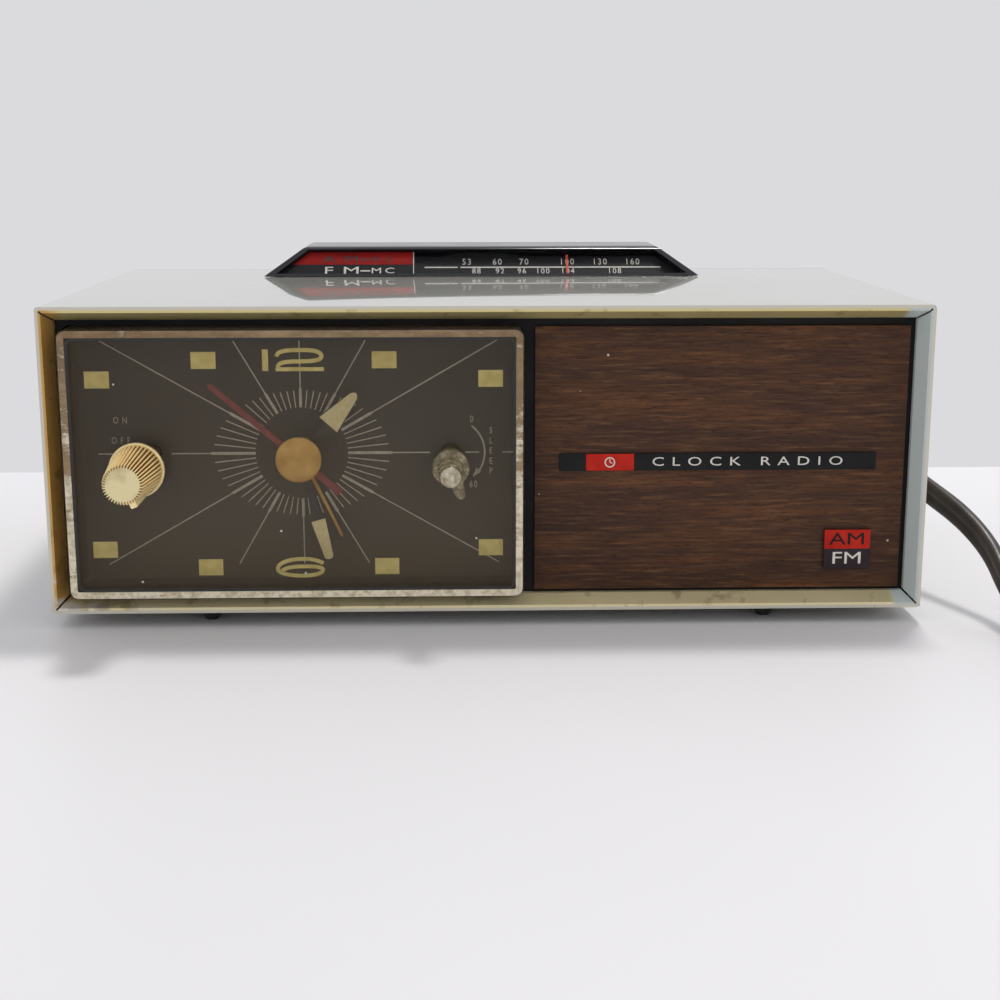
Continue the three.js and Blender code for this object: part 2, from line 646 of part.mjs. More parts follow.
function setKnobGeometry(radius) {
  const front = COVER_BACK + 1;
  const knob = serrated(radius, radius, front, front + SET_KNOB_LENGTH, 16);
  return cut(knob, rod(ARBOR_R + CLEAR, front - 1, ARBOR_END + CLEAR, 12));
}
add('time_set_knob', setKnobGeometry(SET_KNOB_R), 'blackPlastic', [TIME_SET[0], 0, TIME_SET[1]]);
add('alarm_set_knob', setKnobGeometry(SET_KNOB_R), 'blackPlastic', [ALARM_SET[0], 0, ALARM_SET[1]]);

// Hands: a hub ring on its tube, an arm and a blade, pointing up at noon and then turned clockwise.
function hand(name, finish, points, hubR, bore, y, thick, degrees) {
  const blade = plate(outline(points), y, y + thick);
  const hub = rod(hubR, y, y + thick, 20);
  const geometry = cut(join(blade, hub), rod(bore, y - 1, y + thick + 1, 20));
  const mesh = add(name, geometry, finish, CLOCK_CENTRE);
  mesh.rotation.y = THREE.MathUtils.degToRad(degrees);
}

const HAND_SHEET = 0.5;
hand('hour_hand', 'lume', [
  [-1.2, 3], [1.2, 3], [1.6, 14], [4.3, 14], [1.5, 27.8], [0, 28.9], [-1.5, 27.8], [-4.3, 14], [-1.6, 14],
], 5, TUBE_OUTSIDES[1] + CLEAR / 2, 14, HAND_SHEET, 42);
hand('minute_hand', 'lume', [
  [-1, 2], [1, 2], [1.2, 21.9], [2.7, 21.9], [1.6, 35.6], [0.8, 36.3], [-0.8, 36.3], [-1.6, 35.6],
  [-2.7, 21.9], [-1.2, 21.9],
], 4, TUBE_OUTSIDES[0] + CLEAR / 2, 11, HAND_SHEET, 165);
hand('alarm_hand', 'brass', [
  [-0.6, 4], [0.6, 4], [0.5, 31], [0, 31.6], [-0.5, 31],
], 6, TUBE_OUTSIDES[2] + CLEAR / 2, 17, HAND_SHEET, 155);
hand('second_hand', 'redPaint', [
  [-1.2, -17.9], [1.2, -17.9], [0.9, 37.8], [0, 38.5], [-0.9, 37.8],
], 2.6, SHAFT_R + CLEAR / 2, 9, HAND_SHEET, 310.5);

const CAP_R = 7.65;
const centreCap = turned([
  [0, 6.9], [CAP_R - 2, 7], [CAP_R - 0.4, 7.3], [CAP_R, 7.8], [CAP_R, 8.3], [0, 8.3],
], 32);
add('centre_cap', centreCap, 'gold', CLOCK_CENTRE);

const switchBore = rod(SHAFT_HOLE_R, PLATE_FRONT, SHAFT_END + 1, 16);
const modeSwitch = cut(rod(11, PLATE_FRONT + 4, PLATE_FRONT + 16, 20), switchBore);
add('mode_switch', modeSwitch, 'fibre', [MODE_X, 0, CLOCK_Z]);

const timerBox = cut(block(-12, 12, PLATE_FRONT + 4, PLATE_FRONT + 22, -12, 12), switchBore);
add('sleep_timer', timerBox, 'steel', [SLEEP_X, 0, CLOCK_Z]);

// ---- tuning hood -----------------------------------------------------------------------------
const HOOD_FLOOR = HEIGHT + CLEAR;
const FACET_TILT = Math.atan2(HOOD_RISE, HOOD_LEAN);
const FACET_LENGTH = Math.hypot(HOOD_RISE, HOOD_LEAN);

// A solid with the hood's form, drawn in by an inset on every side but the open bottom.
function hoodForm(inset) {
  const geometry = new THREE.BoxGeometry(2, 2, 2);
  const points = geometry.attributes.position;
  const ridgeY = HOOD_FRONT + HOOD_LEAN;
  for (let i = 0; i < points.count; i += 1) {
    const isTop = points.getZ(i) > 0;
    const isBack = points.getY(i) > 0;
    const half = (isTop ? HOOD_RIDGE : HOOD_BASE) - inset * 1.2;
    const frontY = (isTop ? ridgeY : HOOD_FRONT) + inset * (isTop ? 0.45 : 1.34);
    const low = inset > 0 ? HOOD_FLOOR - 2 : HOOD_FLOOR;
    const z = isTop ? HEIGHT + HOOD_RISE - inset : low;
    points.setXYZ(i, points.getX(i) * half, isBack ? HOOD_BACK - inset : frontY, z);
  }
  return geometry;
}

// Outlines on the sloping front: x along the hood, y up the slope.
function facetOutline(inset) {
  const slant = (HOOD_BASE - HOOD_RIDGE) / FACET_LENGTH;
  const low = WINDOW_BORDER + inset;
  const high = FACET_LENGTH - WINDOW_BORDER - inset;
  const side = 2 * WINDOW_BORDER + inset * 1.6;
  const lowX = HOOD_BASE - slant * low - side;
  const highX = HOOD_BASE - slant * high - side;
  return outline([[-lowX, low], [lowX, low], [highX, high], [-highX, high]]);
}

function facetSheet(shape, z0, z1) {
  const settings = { depth: z1 - z0, bevelEnabled: false };
  return new THREE.ExtrudeGeometry(shape, settings).translate(0, 0, z0);
}

const facet = new THREE.Group();
facet.position.set(0, HOOD_FRONT, HEIGHT);
facet.rotation.x = FACET_TILT;
radio.add(facet);

const windowCutter = facetSheet(facetOutline(0), -HOOD_WALL - 2, 3);
windowCutter.rotateX(FACET_TILT).translate(0, HOOD_FRONT, HEIGHT);
add('tuning_hood', cut(hoodForm(0), hoodForm(HOOD_WALL), windowCutter), 'blackPlastic');
const windowSheet = facetSheet(facetOutline(CLEAR), -WINDOW_SHEET - CLEAR, -CLEAR);
add('tuning_window', windowSheet, 'clear', [0, 0, 0], facet);

const scaleLow = 4.2;
const scaleHigh = FACET_LENGTH - 2.6;
const scaleHalf = HOOD_RIDGE - 3;
const scaleShape = outline([
  [-scaleHalf - 7, scaleLow], [scaleHalf + 7, scaleLow], [scaleHalf, scaleHigh], [-scaleHalf, scaleHigh],
]);
const scaleSheet = facetSheet(scaleShape, -SCALE_DEPTH - SCALE_SHEET, -SCALE_DEPTH);
add('tuning_scale', scaleSheet, 'blackPlastic', [0, 0, 0], facet);

const RAIL_Y = POINTER_SLOT_Y[1] + 3.2;
const RAIL_Z = HEIGHT - 12;
const RAIL_HALF = 2.6;
const RAIL_SHEET = 1;
function pointerGeometry() {
  const blade = new THREE.BoxGeometry(0.9, FACET_LENGTH - 3.5, 0.5);
  blade.translate(0, 0.9 + (FACET_LENGTH - 3.5) / 2, -2.35);
  blade.rotateX(FACET_TILT).translate(0, HOOD_FRONT, HEIGHT);
  const leg = block(-0.9, 0.9, 121.7, 122.7, RAIL_Z, HEIGHT + 0.6);
  const saddle = cut(
    block(-4, 4, RAIL_Y - RAIL_HALF - 1.9, RAIL_Y + RAIL_HALF + 1.6, RAIL_Z - 3, RAIL_Z + 3),
    block(
      -5, 5, RAIL_Y - RAIL_HALF - CLEAR, RAIL_Y + RAIL_HALF + CLEAR,
      RAIL_Z - RAIL_SHEET / 2 - CLEAR, RAIL_Z + RAIL_SHEET / 2 + CLEAR,
    ),
  );
  return join(blade, leg, cut(saddle, block(-5, 5, RAIL_Y - 1, RAIL_Y + 1, RAIL_Z - 4, RAIL_Z)));
}
add('dial_pointer', pointerGeometry(), 'redPaint', [POINTER_X, 0, 0]);

const railLeft = POINTER_X + POINTER_TRAVEL[0] - 12;
const railRight = POINTER_X + POINTER_TRAVEL[1] + 12;
const railTop = HEIGHT - WALL - CLEAR;
const pointerRail = join(
  block(
    railLeft, railRight, RAIL_Y - RAIL_HALF, RAIL_Y + RAIL_HALF,
    RAIL_Z - RAIL_SHEET / 2, RAIL_Z + RAIL_SHEET / 2,
  ),
  block(railLeft, railLeft + 1.2, RAIL_Y - RAIL_HALF, RAIL_Y + RAIL_HALF, RAIL_Z - RAIL_SHEET / 2, railTop),
  block(railRight - 1.2, railRight, RAIL_Y - RAIL_HALF, RAIL_Y + RAIL_HALF, RAIL_Z - RAIL_SHEET / 2, railTop),
);
add('pointer_rail', pointerRail, 'steel');

const lamp = join(
  turned([[0, -15], [2, -15], [2, -11], [2.8, -10], [2.8, 10], [2, 11], [2, 15], [0, 15]], 12, 'x'),
  block(-13.5, -12, -2, 2, -4.4, 0),
  block(12, 13.5, -2, 2, -4.4, 0),
);
add('dial_lamp', lamp, 'clear', [0, 144, HEIGHT + 5]);

// ---- radio -----------------------------------------------------------------------------------
const chassisLegs = [BOARD_LEFT + 3, BOARD_RIGHT - 5];
const chassis = cut(
  join(
    block(BOARD_LEFT, BOARD_RIGHT, 24, 148, CHASSIS_TOP - 1.2, CHASSIS_TOP),
    ...chassisLegs.map((x) => block(x, x + 1.2, 28, 144, WALL + CLEAR, CHASSIS_TOP - 1)),
  ),
  block(BOARD_LEFT + 20, BOARD_RIGHT - 20, 40, 130, CHASSIS_TOP - 3, CHASSIS_TOP + 1),
);
add('chassis', chassis, 'steel');

const BOARD_LOW = CHASSIS_TOP + CLEAR;
const BOARD_TOP = BOARD_LOW + 1.6;
function boardGeometry() {
  const pieces = [block(BOARD_LEFT, BOARD_RIGHT, 22, 150, BOARD_LOW, BOARD_TOP)];
  for (const [x, y] of [[28, 40], [44, 40], [28, 60], [44, 60], [28, 120]]) {
    pieces.push(block(x - 5, x + 5, y - 5, y + 5, BOARD_TOP - 0.5, BOARD_TOP + 14));
  }
  return join(...pieces);
}
add('circuit_board', boardGeometry(), 'board');

const VANE_COUNT = 5;
const VANE_PITCH = 4;
const VANE_SHEET = 1;
const VANE_R = 14;
const ROTOR_LEFT = 80;
const ROTOR_CENTRE = [0, DRUM_Y, CONTROL_Z];

// Half discs about X, opening upwards or downwards, from x0 to x0 + VANE_SHEET.
function halfDisc(radius, innerR, x0, upwards) {
  const shape = new THREE.Shape();
  const [from, to] = upwards ? [0, Math.PI] : [Math.PI, 2 * Math.PI];
  shape.absarc(0, 0, radius, from, to, false);
  shape.absarc(0, 0, innerR, to, from, true);
  const settings = { depth: VANE_SHEET, bevelEnabled: false, curveSegments: 8 };
  const sheet = new THREE.ExtrudeGeometry(shape, settings);
  return sheet.rotateX(Math.PI / 2).rotateZ(Math.PI / 2).translate(x0, 0, 0);
}

const rotorPieces = [
  rod(CONTROL_SHAFT_R, ROTOR_LEFT - 6, 112, 12, 'x'),
  tube(CONTROL_SHAFT_R - 0.2, DRUM_R, 107, 110, 40, 'x'),
];
const statorPieces = [
  block(ROTOR_LEFT - 3, 103, -16, 16, -21.5, -16.5),
  block(ROTOR_LEFT - 4.2, ROTOR_LEFT - 3, -16, 16, -21.5, 8),
  block(103, 104.2, -16, 16, -21.5, 8),
];
for (let i = 0; i < VANE_COUNT; i += 1) {
  rotorPieces.push(halfDisc(VANE_R, CONTROL_SHAFT_R - 0.4, ROTOR_LEFT + i * VANE_PITCH, true));
  const x0 = ROTOR_LEFT + (i + 0.5) * VANE_PITCH;
  const ring = tube(CONTROL_SHAFT_R + 2, VANE_R + 1, x0, x0 + VANE_SHEET, 20, 'x');
  const lower = toGeometry(toSolid(ring).intersect(toSolid(block(0, 200, -30, 30, -30, -1))));
  statorPieces.push(lower, block(x0, x0 + VANE_SHEET, -8, 8, -18, -10));
}
const rotorHoles = rod(CONTROL_SHAFT_R + RUNNING, ROTOR_LEFT - 8, 106, 16, 'x');
add('tuning_rotor', join(...rotorPieces), 'steel', ROTOR_CENTRE);
add('tuning_capacitor', cut(join(...statorPieces), rotorHoles), 'steel', ROTOR_CENTRE);

// Side knobs: serrated discs on shafts that pass through the right wall.
function sideKnob(radius, shaftLeft) {
  const inside = HALF_WIDTH + CLEAR;
  const rim = serrated(radius, radius, inside, inside + KNOB_OUT, 24).rotateZ(-Math.PI / 2);
  return join(rim, rod(CONTROL_SHAFT_R, shaftLeft, inside + 1, 16, 'x'));
}
const tuningKnob = join(sideKnob(TUNING_KNOB_R, 104), rod(SPINDLE_R - CLEAR, 107, 110, 24, 'x'));
add('tuning_knob', tuningKnob, 'blackPlastic', [0, TUNING_Y, CONTROL_Z]);
add('volume_knob', sideKnob(VOLUME_KNOB_R, 128), 'blackPlastic', [0, VOLUME_Y, CONTROL_Z]);

const volumeBody = cut(rod(8.5, 124, 140, 20, 'x'), rod(CONTROL_SHAFT_R + RUNNING, 127.5, 141, 16, 'x'));
add('volume_control', volumeBody, 'steel', [0, VOLUME_Y, CONTROL_Z]);

const SLIDER_HALF = 2;
const bandBody = cut(
  block(128, 141, -12, 12, -6, 6),
  block(
    134, 142, -SLIDER_HALF - BAND_TRAVEL / 2 - 1, SLIDER_HALF + BAND_TRAVEL / 2 + 1,
    -SLIDER_HALF - CLEAR, SLIDER_HALF + CLEAR,
  ),
);
add('band_switch', bandBody, 'fibre', [0, BAND_Y, CONTROL_Z]);
const sliderRest = BAND_Y - BAND_TRAVEL / 2;
const slider = block(134.5, HALF_WIDTH + 3.5, -SLIDER_HALF, SLIDER_HALF, -SLIDER_HALF, SLIDER_HALF);
add('band_slider', slider, 'blackPlastic', [0, sliderRest, CONTROL_Z]);

const ferrite = join(
  rod(4.5, BOARD_LEFT + 5, BOARD_RIGHT - 8, 12, 'x'),
  rod(6.5, BOARD_LEFT + 20, BOARD_LEFT + 50, 16, 'x'),
);
add('ferrite_antenna', ferrite, 'fibre', [0, 145, 80]);

function speakerBasketGeometry() {
  const floor = WALL + CLEAR;
  return turned([
    [31, floor], [SPEAKER_R, floor], [SPEAKER_R, floor + 1.5], [33.5, floor + 1.5],
    [18, 22], [19, 22], [19, 34], [0, 34], [0, 24], [5.5, 24], [5.5, 31], [12, 31], [12, 21], [16.5, 20],
    [31.5, floor + 1.6], [31, floor],
  ], 28, 'z');
}
add('speaker_basket', speakerBasketGeometry(), 'steel', [SPEAKER_X, SPEAKER_Y, 0]);

const cone = turned([
  [0, 12.5], [7, 13.5], [7.4, 13], [28.6, 3.4], [29.6, 3.4], [29.6, 4],
  [9.2, 17], [9.2, 27], [7.2, 27], [7.2, 15.2], [0, 14],
], 28, 'z');
add('speaker_cone', cone, 'paper', [SPEAKER_X, SPEAKER_Y, 0]);

const transformer = join(
  block(-24, 24, -20, 20, 8, 46),
  block(-17, 17, -27, 27, 14, 40),
  block(-30, 30, -8, 8, WALL + CLEAR, 9),
);
add('power_transformer', transformer, 'steel', [-100, 122, 0]);

const canFoot = BOARD_TOP + CLEAR;
const filterCan = turned([[0, canFoot], [9, canFoot], [9, 84], [8, 86], [0, 86]], 20, 'z');
add('filter_capacitor', filterCan, 'steel', [40, 92, 0]);

// ---- mains cord ------------------------------------------------------------------------------
const TABLE = -FOOT_HEIGHT;
const LYING = TABLE + CORD_WIDTH / 2;
const reliefFront = COVER_FRONT + 0.5;
const reliefBack = COVER_BACK + RELIEF_LENGTH;
const strainRelief = turned([
  [0, reliefFront], [RELIEF_R, reliefFront],
  [RELIEF_R, COVER_BACK + CLEAR], [RELIEF_R + 1.5, COVER_BACK + CLEAR],
  [RELIEF_R + 1.5, COVER_BACK + 2.5], [RELIEF_R, COVER_BACK + 3], [5.2, reliefBack], [0, reliefBack],
], 20);
add('strain_relief', strainRelief, 'cordPlastic', [CORD_EXIT_X, 0, CORD_EXIT_Z]);

// The flex bows round the back corner in the air, passes the side and comes down to the table.
const BOW_OUT = 18; // how far off the cabinet's side the bow ends
const BOW_R = (HALF_WIDTH + BOW_OUT - CORD_EXIT_X) / 2;
const BOW_Y = DEPTH + 35.3;
const BOW_STEPS = 6;
// along the side: how far out from it, the share of the depth, and the height
const SIDE_ROUTE = [
  [17.6, 1.064, 35.9],
  [16, 0.903, 35.8],
  [13.6, 0.742, 35.7],
  [11, 0.581, 35.6],
  [9.2, 0.433, 35.1],
  [10.8, 0.322, 33],
  [15.1, 0.235, 29.7],
];
// in front of it: how far out, how far back from the front edge, and the height
const FRONT_ROUTE = [
  [18.6, 27.5, 26.9],
  [21.3, 18.5, 23.9],
  [23.5, 10.4, 20.4],
  [24.8, 3, 16.8],
  [25.3, -5.2, 12.6],
  [26.4, -13.6, 7.8],
  [28.7, -22.4, 3],
  [30.3, -31, LYING],
];
const cordRoute = [[CORD_EXIT_X, reliefBack + CLEAR, CORD_EXIT_Z]];
for (let i = 0; i <= BOW_STEPS; i += 1) {
  const angle = Math.PI * (1 - i / BOW_STEPS);
  const x = CORD_EXIT_X + BOW_R * (1 + Math.cos(angle));
  cordRoute.push([x, BOW_Y + BOW_R * Math.sin(angle), CORD_EXIT_Z]);
}
for (const [out, share, z] of SIDE_ROUTE) cordRoute.push([HALF_WIDTH + out, share * DEPTH, z]);
for (const [out, y, z] of FRONT_ROUTE) cordRoute.push([HALF_WIDTH + out, y, z]);
const routePoints = cordRoute.map((point) => new THREE.Vector3(...point));
const cordPath = new THREE.CatmullRomCurve3(routePoints, false, 'centripetal');

function cordGeometry() {
  const sides = 8;
  const section = [];
  for (let i = 0; i < sides; i += 1) {
    const angle = ((i + 0.5) / sides) * 2 * Math.PI;
    section.push([(CORD_WIDTH / 2) * Math.cos(angle), (CORD_WIDTH / 2) * Math.sin(angle)]);
  }
  const settings = { steps: 64, bevelEnabled: false, extrudePath: cordPath };
  return new THREE.ExtrudeGeometry(outline(section), settings);
}
add('power_cord', cordGeometry(), 'cordPlastic');

const coilHalf = (COIL_TURNS_ACROSS * CORD_WIDTH) / 2;
const coilHeight = COIL_LAYERS * CORD_WIDTH;
const coilRing = tube(COIL_MIDDLE_R - coilHalf, COIL_MIDDLE_R + coilHalf, TABLE, TABLE + coilHeight, 32, 'z');
const coilX = HALF_WIDTH + COIL_OUT;
add('cord_coil', coilRing, 'cordPlastic', [coilX, COIL_Y, 0]);

// The plug lies on the coil, along the way that its turns run, with its pins leading.
const plugBase = TABLE + coilHeight + CLEAR;
const mainsPlug = join(
  block(-14, 12, -9, 9, plugBase, plugBase + 13),
  block(12, 27, -7.2, -5.7, plugBase + 3.2, plugBase + 9.6),
  block(12, 27, 5.7, 7.2, plugBase + 3.2, plugBase + 9.6),
);
add('mains_plug', mainsPlug, 'blackPlastic', [coilX, COIL_Y - COIL_MIDDLE_R, 0]);

// ---- origin: the middle of the footprint, at the table, without the cord ---------------------
const cordNodes = ['power_cord', 'cord_coil', 'mains_plug'];
radio.updateMatrixWorld(true);
const footprint = new THREE.Box3();
radio.traverse((object) => {
  if (object.isMesh && !cordNodes.includes(object.name)) footprint.expandByObject(object, true);
});
const middle = footprint.getCenter(new THREE.Vector3());
radio.position.set(-middle.x, -middle.y, -footprint.min.z);

export default radio;
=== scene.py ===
"""Mains AM/FM clock radio: the finished look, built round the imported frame.

Lengths below are millimetres from the cabinet's front plane, its centre line and its underside,
+X to the right, +Y to the back and +Z up. Every piece is modelled there and then placed in the
frame, which is in metres.
"""

import math

import bmesh
import bpy
from mathutils import Matrix, Vector


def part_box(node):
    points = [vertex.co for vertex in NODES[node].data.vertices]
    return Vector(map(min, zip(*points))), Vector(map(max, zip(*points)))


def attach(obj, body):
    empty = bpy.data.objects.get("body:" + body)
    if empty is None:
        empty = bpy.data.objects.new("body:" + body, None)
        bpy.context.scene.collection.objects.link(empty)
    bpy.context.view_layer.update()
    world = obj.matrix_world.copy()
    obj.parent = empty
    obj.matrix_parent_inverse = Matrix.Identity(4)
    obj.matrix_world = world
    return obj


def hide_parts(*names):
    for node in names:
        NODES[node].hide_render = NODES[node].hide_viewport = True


bl_info = {
    "name": "Clock Radio Finish",
    "version": (1, 0, 0),
    "blender": (4, 5, 0),
    "location": "3D View > Sidebar > Clock Radio",
    "description": "Builds the finished pieces, materials and stage of a mains clock radio",
    "category": "Object",
}

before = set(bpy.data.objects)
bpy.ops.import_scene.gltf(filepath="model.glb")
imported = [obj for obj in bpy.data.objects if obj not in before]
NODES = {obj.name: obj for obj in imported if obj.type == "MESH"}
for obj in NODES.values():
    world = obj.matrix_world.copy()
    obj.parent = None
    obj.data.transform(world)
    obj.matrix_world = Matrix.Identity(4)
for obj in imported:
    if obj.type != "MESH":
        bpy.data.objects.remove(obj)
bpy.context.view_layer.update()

MM = 0.001
SLEEVE_LOW, SLEEVE_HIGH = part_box("cabinet_sleeve")
CABINET_ZERO = Vector(((SLEEVE_LOW.x + SLEEVE_HIGH.x) / 2, SLEEVE_LOW.y, SLEEVE_LOW.z))
PLACE = Matrix.Translation(CABINET_ZERO) @ Matrix.Scale(MM, 4)
TO_CABINET = PLACE.inverted()
ALONG_Y = Matrix.Rotation(math.radians(90), 4, "X")
BACKWARD = ALONG_Y.inverted()
ALONG_X = Matrix.Rotation(math.radians(90), 4, "Y")
STEPS = 64

WIDTH, HEIGHT = 290.0, 101.6
CLOCK = Vector((-63.0, 20.0, 50.2))
MODE = Vector((-113.2, 0.0, 50.2))
SLEEP = Vector((-12.6, 0.0, 50.2))
TUNING = Vector((145.3, 60.0, 70.0))
VOLUME = Vector((145.3, 120.0, 70.0))
CLOCK_AXIS = Matrix.Translation((CLOCK.x, 0, CLOCK.z))
FIGURE_FRONT, FIGURE_BACK = 0.62, 0.95
PRINT_FRONT, PRINT_BACK, PRINT_MIDDLE = 19.9, 20.02, 19.96
RAY_WIDTH = 0.42
CORD_WIDTH = 8.8
CORD_THICK = 4.7
LYING = -0.6
CORD_BOW = [(126.5 + 36.5 * math.cos(math.radians(turn)),
             197 + 36.5 * math.sin(math.radians(turn)), 36) for turn in range(180, -1, -30)]
CORD_ROUTE = [
    (90, 185.0, 36), *CORD_BOW, (162.6, 172.05, 35.9), (161, 146, 35.8), (158.6, 120, 35.7),
    (156, 93.95, 35.6), (154.2, 70, 35.1), (155.8, 52.1, 33), (160.1, 38, 29.7),
    (163.6, 27.5, 26.9), (166.3, 18.5, 23.9), (168.5, 10.4, 20.4), (169.8, 3, 16.8),
    (170.3, -5.2, 12.6), (171.4, -13.6, 7.8), (173.7, -22.4, 3), (175.3, -31, -0.6),
]
COIL_CENTRE = Vector((238.7, -33.0, 0.0))
COIL_PITCH = 8.8
COIL_MIDDLE = 45.0
PLUG_BACK = Vector((224.7, -78.0, 19.4))


# ---- mesh helpers ------------------------------------------------------------------------------

def cuboid(bm, low, high, bevel=0.0, segments=2, finish=0):
    """A block between two corners, its edges rounded, and the vertices it added."""
    low, high = Vector(low), Vector(high)
    size = Matrix.Diagonal((*(high - low), 1))
    made = bmesh.ops.create_cube(bm, size=1, matrix=Matrix.Translation((low + high) / 2) @ size)
    verts = made["verts"]
    for face in {f for v in verts for f in v.link_faces}:
        face.material_index = finish
    if bevel:
        edges = list({e for v in verts for e in v.link_edges})
        made = bmesh.ops.bevel(bm, geom=edges, offset=bevel, segments=segments, profile=0.5,
                               affect="EDGES", material=-1)
        verts = made["verts"]
    return verts


def lathe(bm, profile, turn=Matrix.Identity(4), steps=STEPS, finish=0):
    """Spins (radius, height) points about +Z, closes the ends and moves the result by turn."""
    verts = [bm.verts.new((r, 0, z)) for r, z in profile]
    edges = [bm.edges.new(pair) for pair in zip(verts, verts[1:])]
    made = bmesh.ops.spin(bm, geom=verts + edges, cent=(0, 0, 0), axis=(0, 0, 1), dvec=(0, 0, 0),
                          angle=math.tau, steps=steps, use_merge=True)
    spun = {v for v in verts if v.is_valid}
    grown = set(spun)
    while grown:
        grown = {e.other_vert(v) for v in grown for e in v.link_edges} - spun
        spun |= grown
    bmesh.ops.remove_doubles(bm, verts=list(spun), dist=1e-5)
    spun = [v for v in spun if v.is_valid]
    for face in {f for v in spun for f in v.link_faces}:
        face.material_index = finish
    bmesh.ops.transform(bm, matrix=turn, verts=spun)
    return spun


def thickened(bm, faces, shift, finish):
    """Draws faces out by a shift into a solid of one finish."""
    made = bmesh.ops.extrude_face_region(bm, geom=faces)
    back = [g for g in made["geom"] if isinstance(g, bmesh.types.BMVert)]
    bmesh.ops.translate(bm, vec=shift, verts=back)
    for face in {f for v in back for f in v.link_faces} | set(faces):
        face.material_index = finish


def slab(bm, outline, y_front, y_back, bevel=0.0, finish=0):
    """A flat plate with an outline in x and z, standing square to the clock's face."""
    verts = [bm.verts.new((x, y_front, z)) for x, z in outline]
    face = bm.faces.new(verts)
    thickened(bm, [face], (0, y_back - y_front, 0), finish)
    if bevel:
        bmesh.ops.bevel(bm, geom=list(face.edges), offset=bevel, segments=2, profile=0.5,
                        affect="EDGES", material=-1)


def bar(bm, start, end, width, y_front, y_back, finish=0):
    """A straight printed line or bar between two points of the face."""
    start, end = Vector(start), Vector(end)
    along = (end - start).normalized()
    side = Vector((-along.y, along.x)) * width / 2
    slab(bm, [start - side, end - side, end + side, start + side], y_front, y_back, finish=finish)


def lettering(bm, words, height, turn, stretch=1.0, spacing=1.0, depth=0.12, finish=0):
    """Plain capitals or figures in the x-y plane of turn, centred on it, as thin raised solids."""
    curve = bpy.data.curves.new("lettering", "FONT")
    curve.body = words
    curve.size = height / 0.69
    curve.space_character = spacing
    curve.align_x, curve.align_y = "CENTER", "CENTER"
    curve.extrude = depth / 2
    curve.resolution_u = 3
    carrier = bpy.data.objects.new("lettering", curve)
    bpy.context.scene.collection.objects.link(carrier)
    bpy.context.view_layer.update()
    flat = bpy.data.meshes.new_from_object(carrier.evaluated_get(
        bpy.context.evaluated_depsgraph_get()))
    flat.transform(turn @ Matrix.Diagonal((stretch, 1, 1, 1)))
    known = set(bm.faces)
    bm.from_mesh(flat)
    for face in set(bm.faces) - known:
        face.material_index = finish
    bpy.data.objects.remove(carrier)
    bpy.data.curves.remove(curve)
    bpy.data.meshes.remove(flat)


def facing_front(x, y, z):
    """A frame for lettering that is read from the front at a point of the cabinet."""
    return Matrix.Translation((x, y, z)) @ ALONG_Y


def welded(node, clear_flats=True):
    """The CAD node's mesh in cabinet millimetres, its loose triangles joined and flats cleared."""
    bm = bmesh.new()
    bm.from_mesh(NODES[node].data)
    bm.transform(TO_CABINET)
    bmesh.ops.remove_doubles(bm, verts=bm.verts, dist=1e-3)
    if clear_flats:
        bmesh.ops.dissolve_limit(bm, angle_limit=math.radians(0.5), verts=bm.verts,
                                 edges=bm.edges)
    return bm


def node_box(node):
    """A CAD piece's corners and its middle, in cabinet millimetres."""
    low, high = (TO_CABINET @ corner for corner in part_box(node))
    return low, high, (low + high) / 2


def turned(bm, verts, degrees):
    """Turns part of a knob about the knob's own axis."""
    bmesh.ops.rotate(bm, cent=(0, 0, 0), matrix=Matrix.Rotation(math.radians(degrees), 3, "Y"),
                     verts=verts)


def sharp_edges(bm, degrees=30.0):
    return [e for e in bm.edges if e.is_manifold and e.calc_face_angle(0) > math.radians(degrees)]


def soften(bm, edges, width, segments=2):
    """Rounds edges as a moulding or a folded sheet is rounded."""
    bmesh.ops.bevel(bm, geom=edges, offset=width, segments=segments, profile=0.5, affect="EDGES",
                    clamp_overlap=True, material=-1)


def finished(name, bm, body, finishes, replaces=(), crease=35.0):
    """Places a mesh in the frame and makes it a piece that rides on its body."""
    bmesh.ops.remove_doubles(bm, verts=bm.verts, dist=1e-4)
    bmesh.ops.recalc_face_normals(bm, faces=bm.faces)
    bm.transform(PLACE)
    for face in bm.faces:
        face.smooth = True
    for edge in bm.edges:
        edge.smooth = edge.calc_face_angle(0) < math.radians(crease)
    mesh = bpy.data.meshes.new(name)
    bm.to_mesh(mesh)
    bm.free()
    for finish in finishes:
        mesh.materials.append(FINISH[finish])
    piece = bpy.data.objects.new(name, mesh)
    bpy.context.scene.collection.objects.link(piece)
    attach(piece, body)
    if replaces:
        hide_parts(*replaces)
    return piece


def cut_out(bm, cutters):
    """Takes the cutters' volume out of a closed mesh."""
    parts = []
    for label, source in (("blank", bm), ("cutter", cutters)):
        mesh = bpy.data.meshes.new(label)
        source.to_mesh(mesh)
        source.free()
        part = bpy.data.objects.new(label, mesh)
        bpy.context.scene.collection.objects.link(part)
        parts.append(part)
    blank, tool = parts
    tool.hide_render = True
    cut = blank.modifiers.new("cut", "BOOLEAN")
    cut.operation, cut.solver, cut.object = "DIFFERENCE", "EXACT", tool
    bpy.context.view_layer.update()
    result = bpy.data.meshes.new_from_object(blank.evaluated_get(
        bpy.context.evaluated_depsgraph_get()))
    done = bmesh.new()
    done.from_mesh(result)
    for part in parts:
        mesh = part.data
        bpy.data.objects.remove(part)
        bpy.data.meshes.remove(mesh)
    bpy.data.meshes.remove(result)
    return done


# ---- material helpers ----------------------------------------------------------------------------

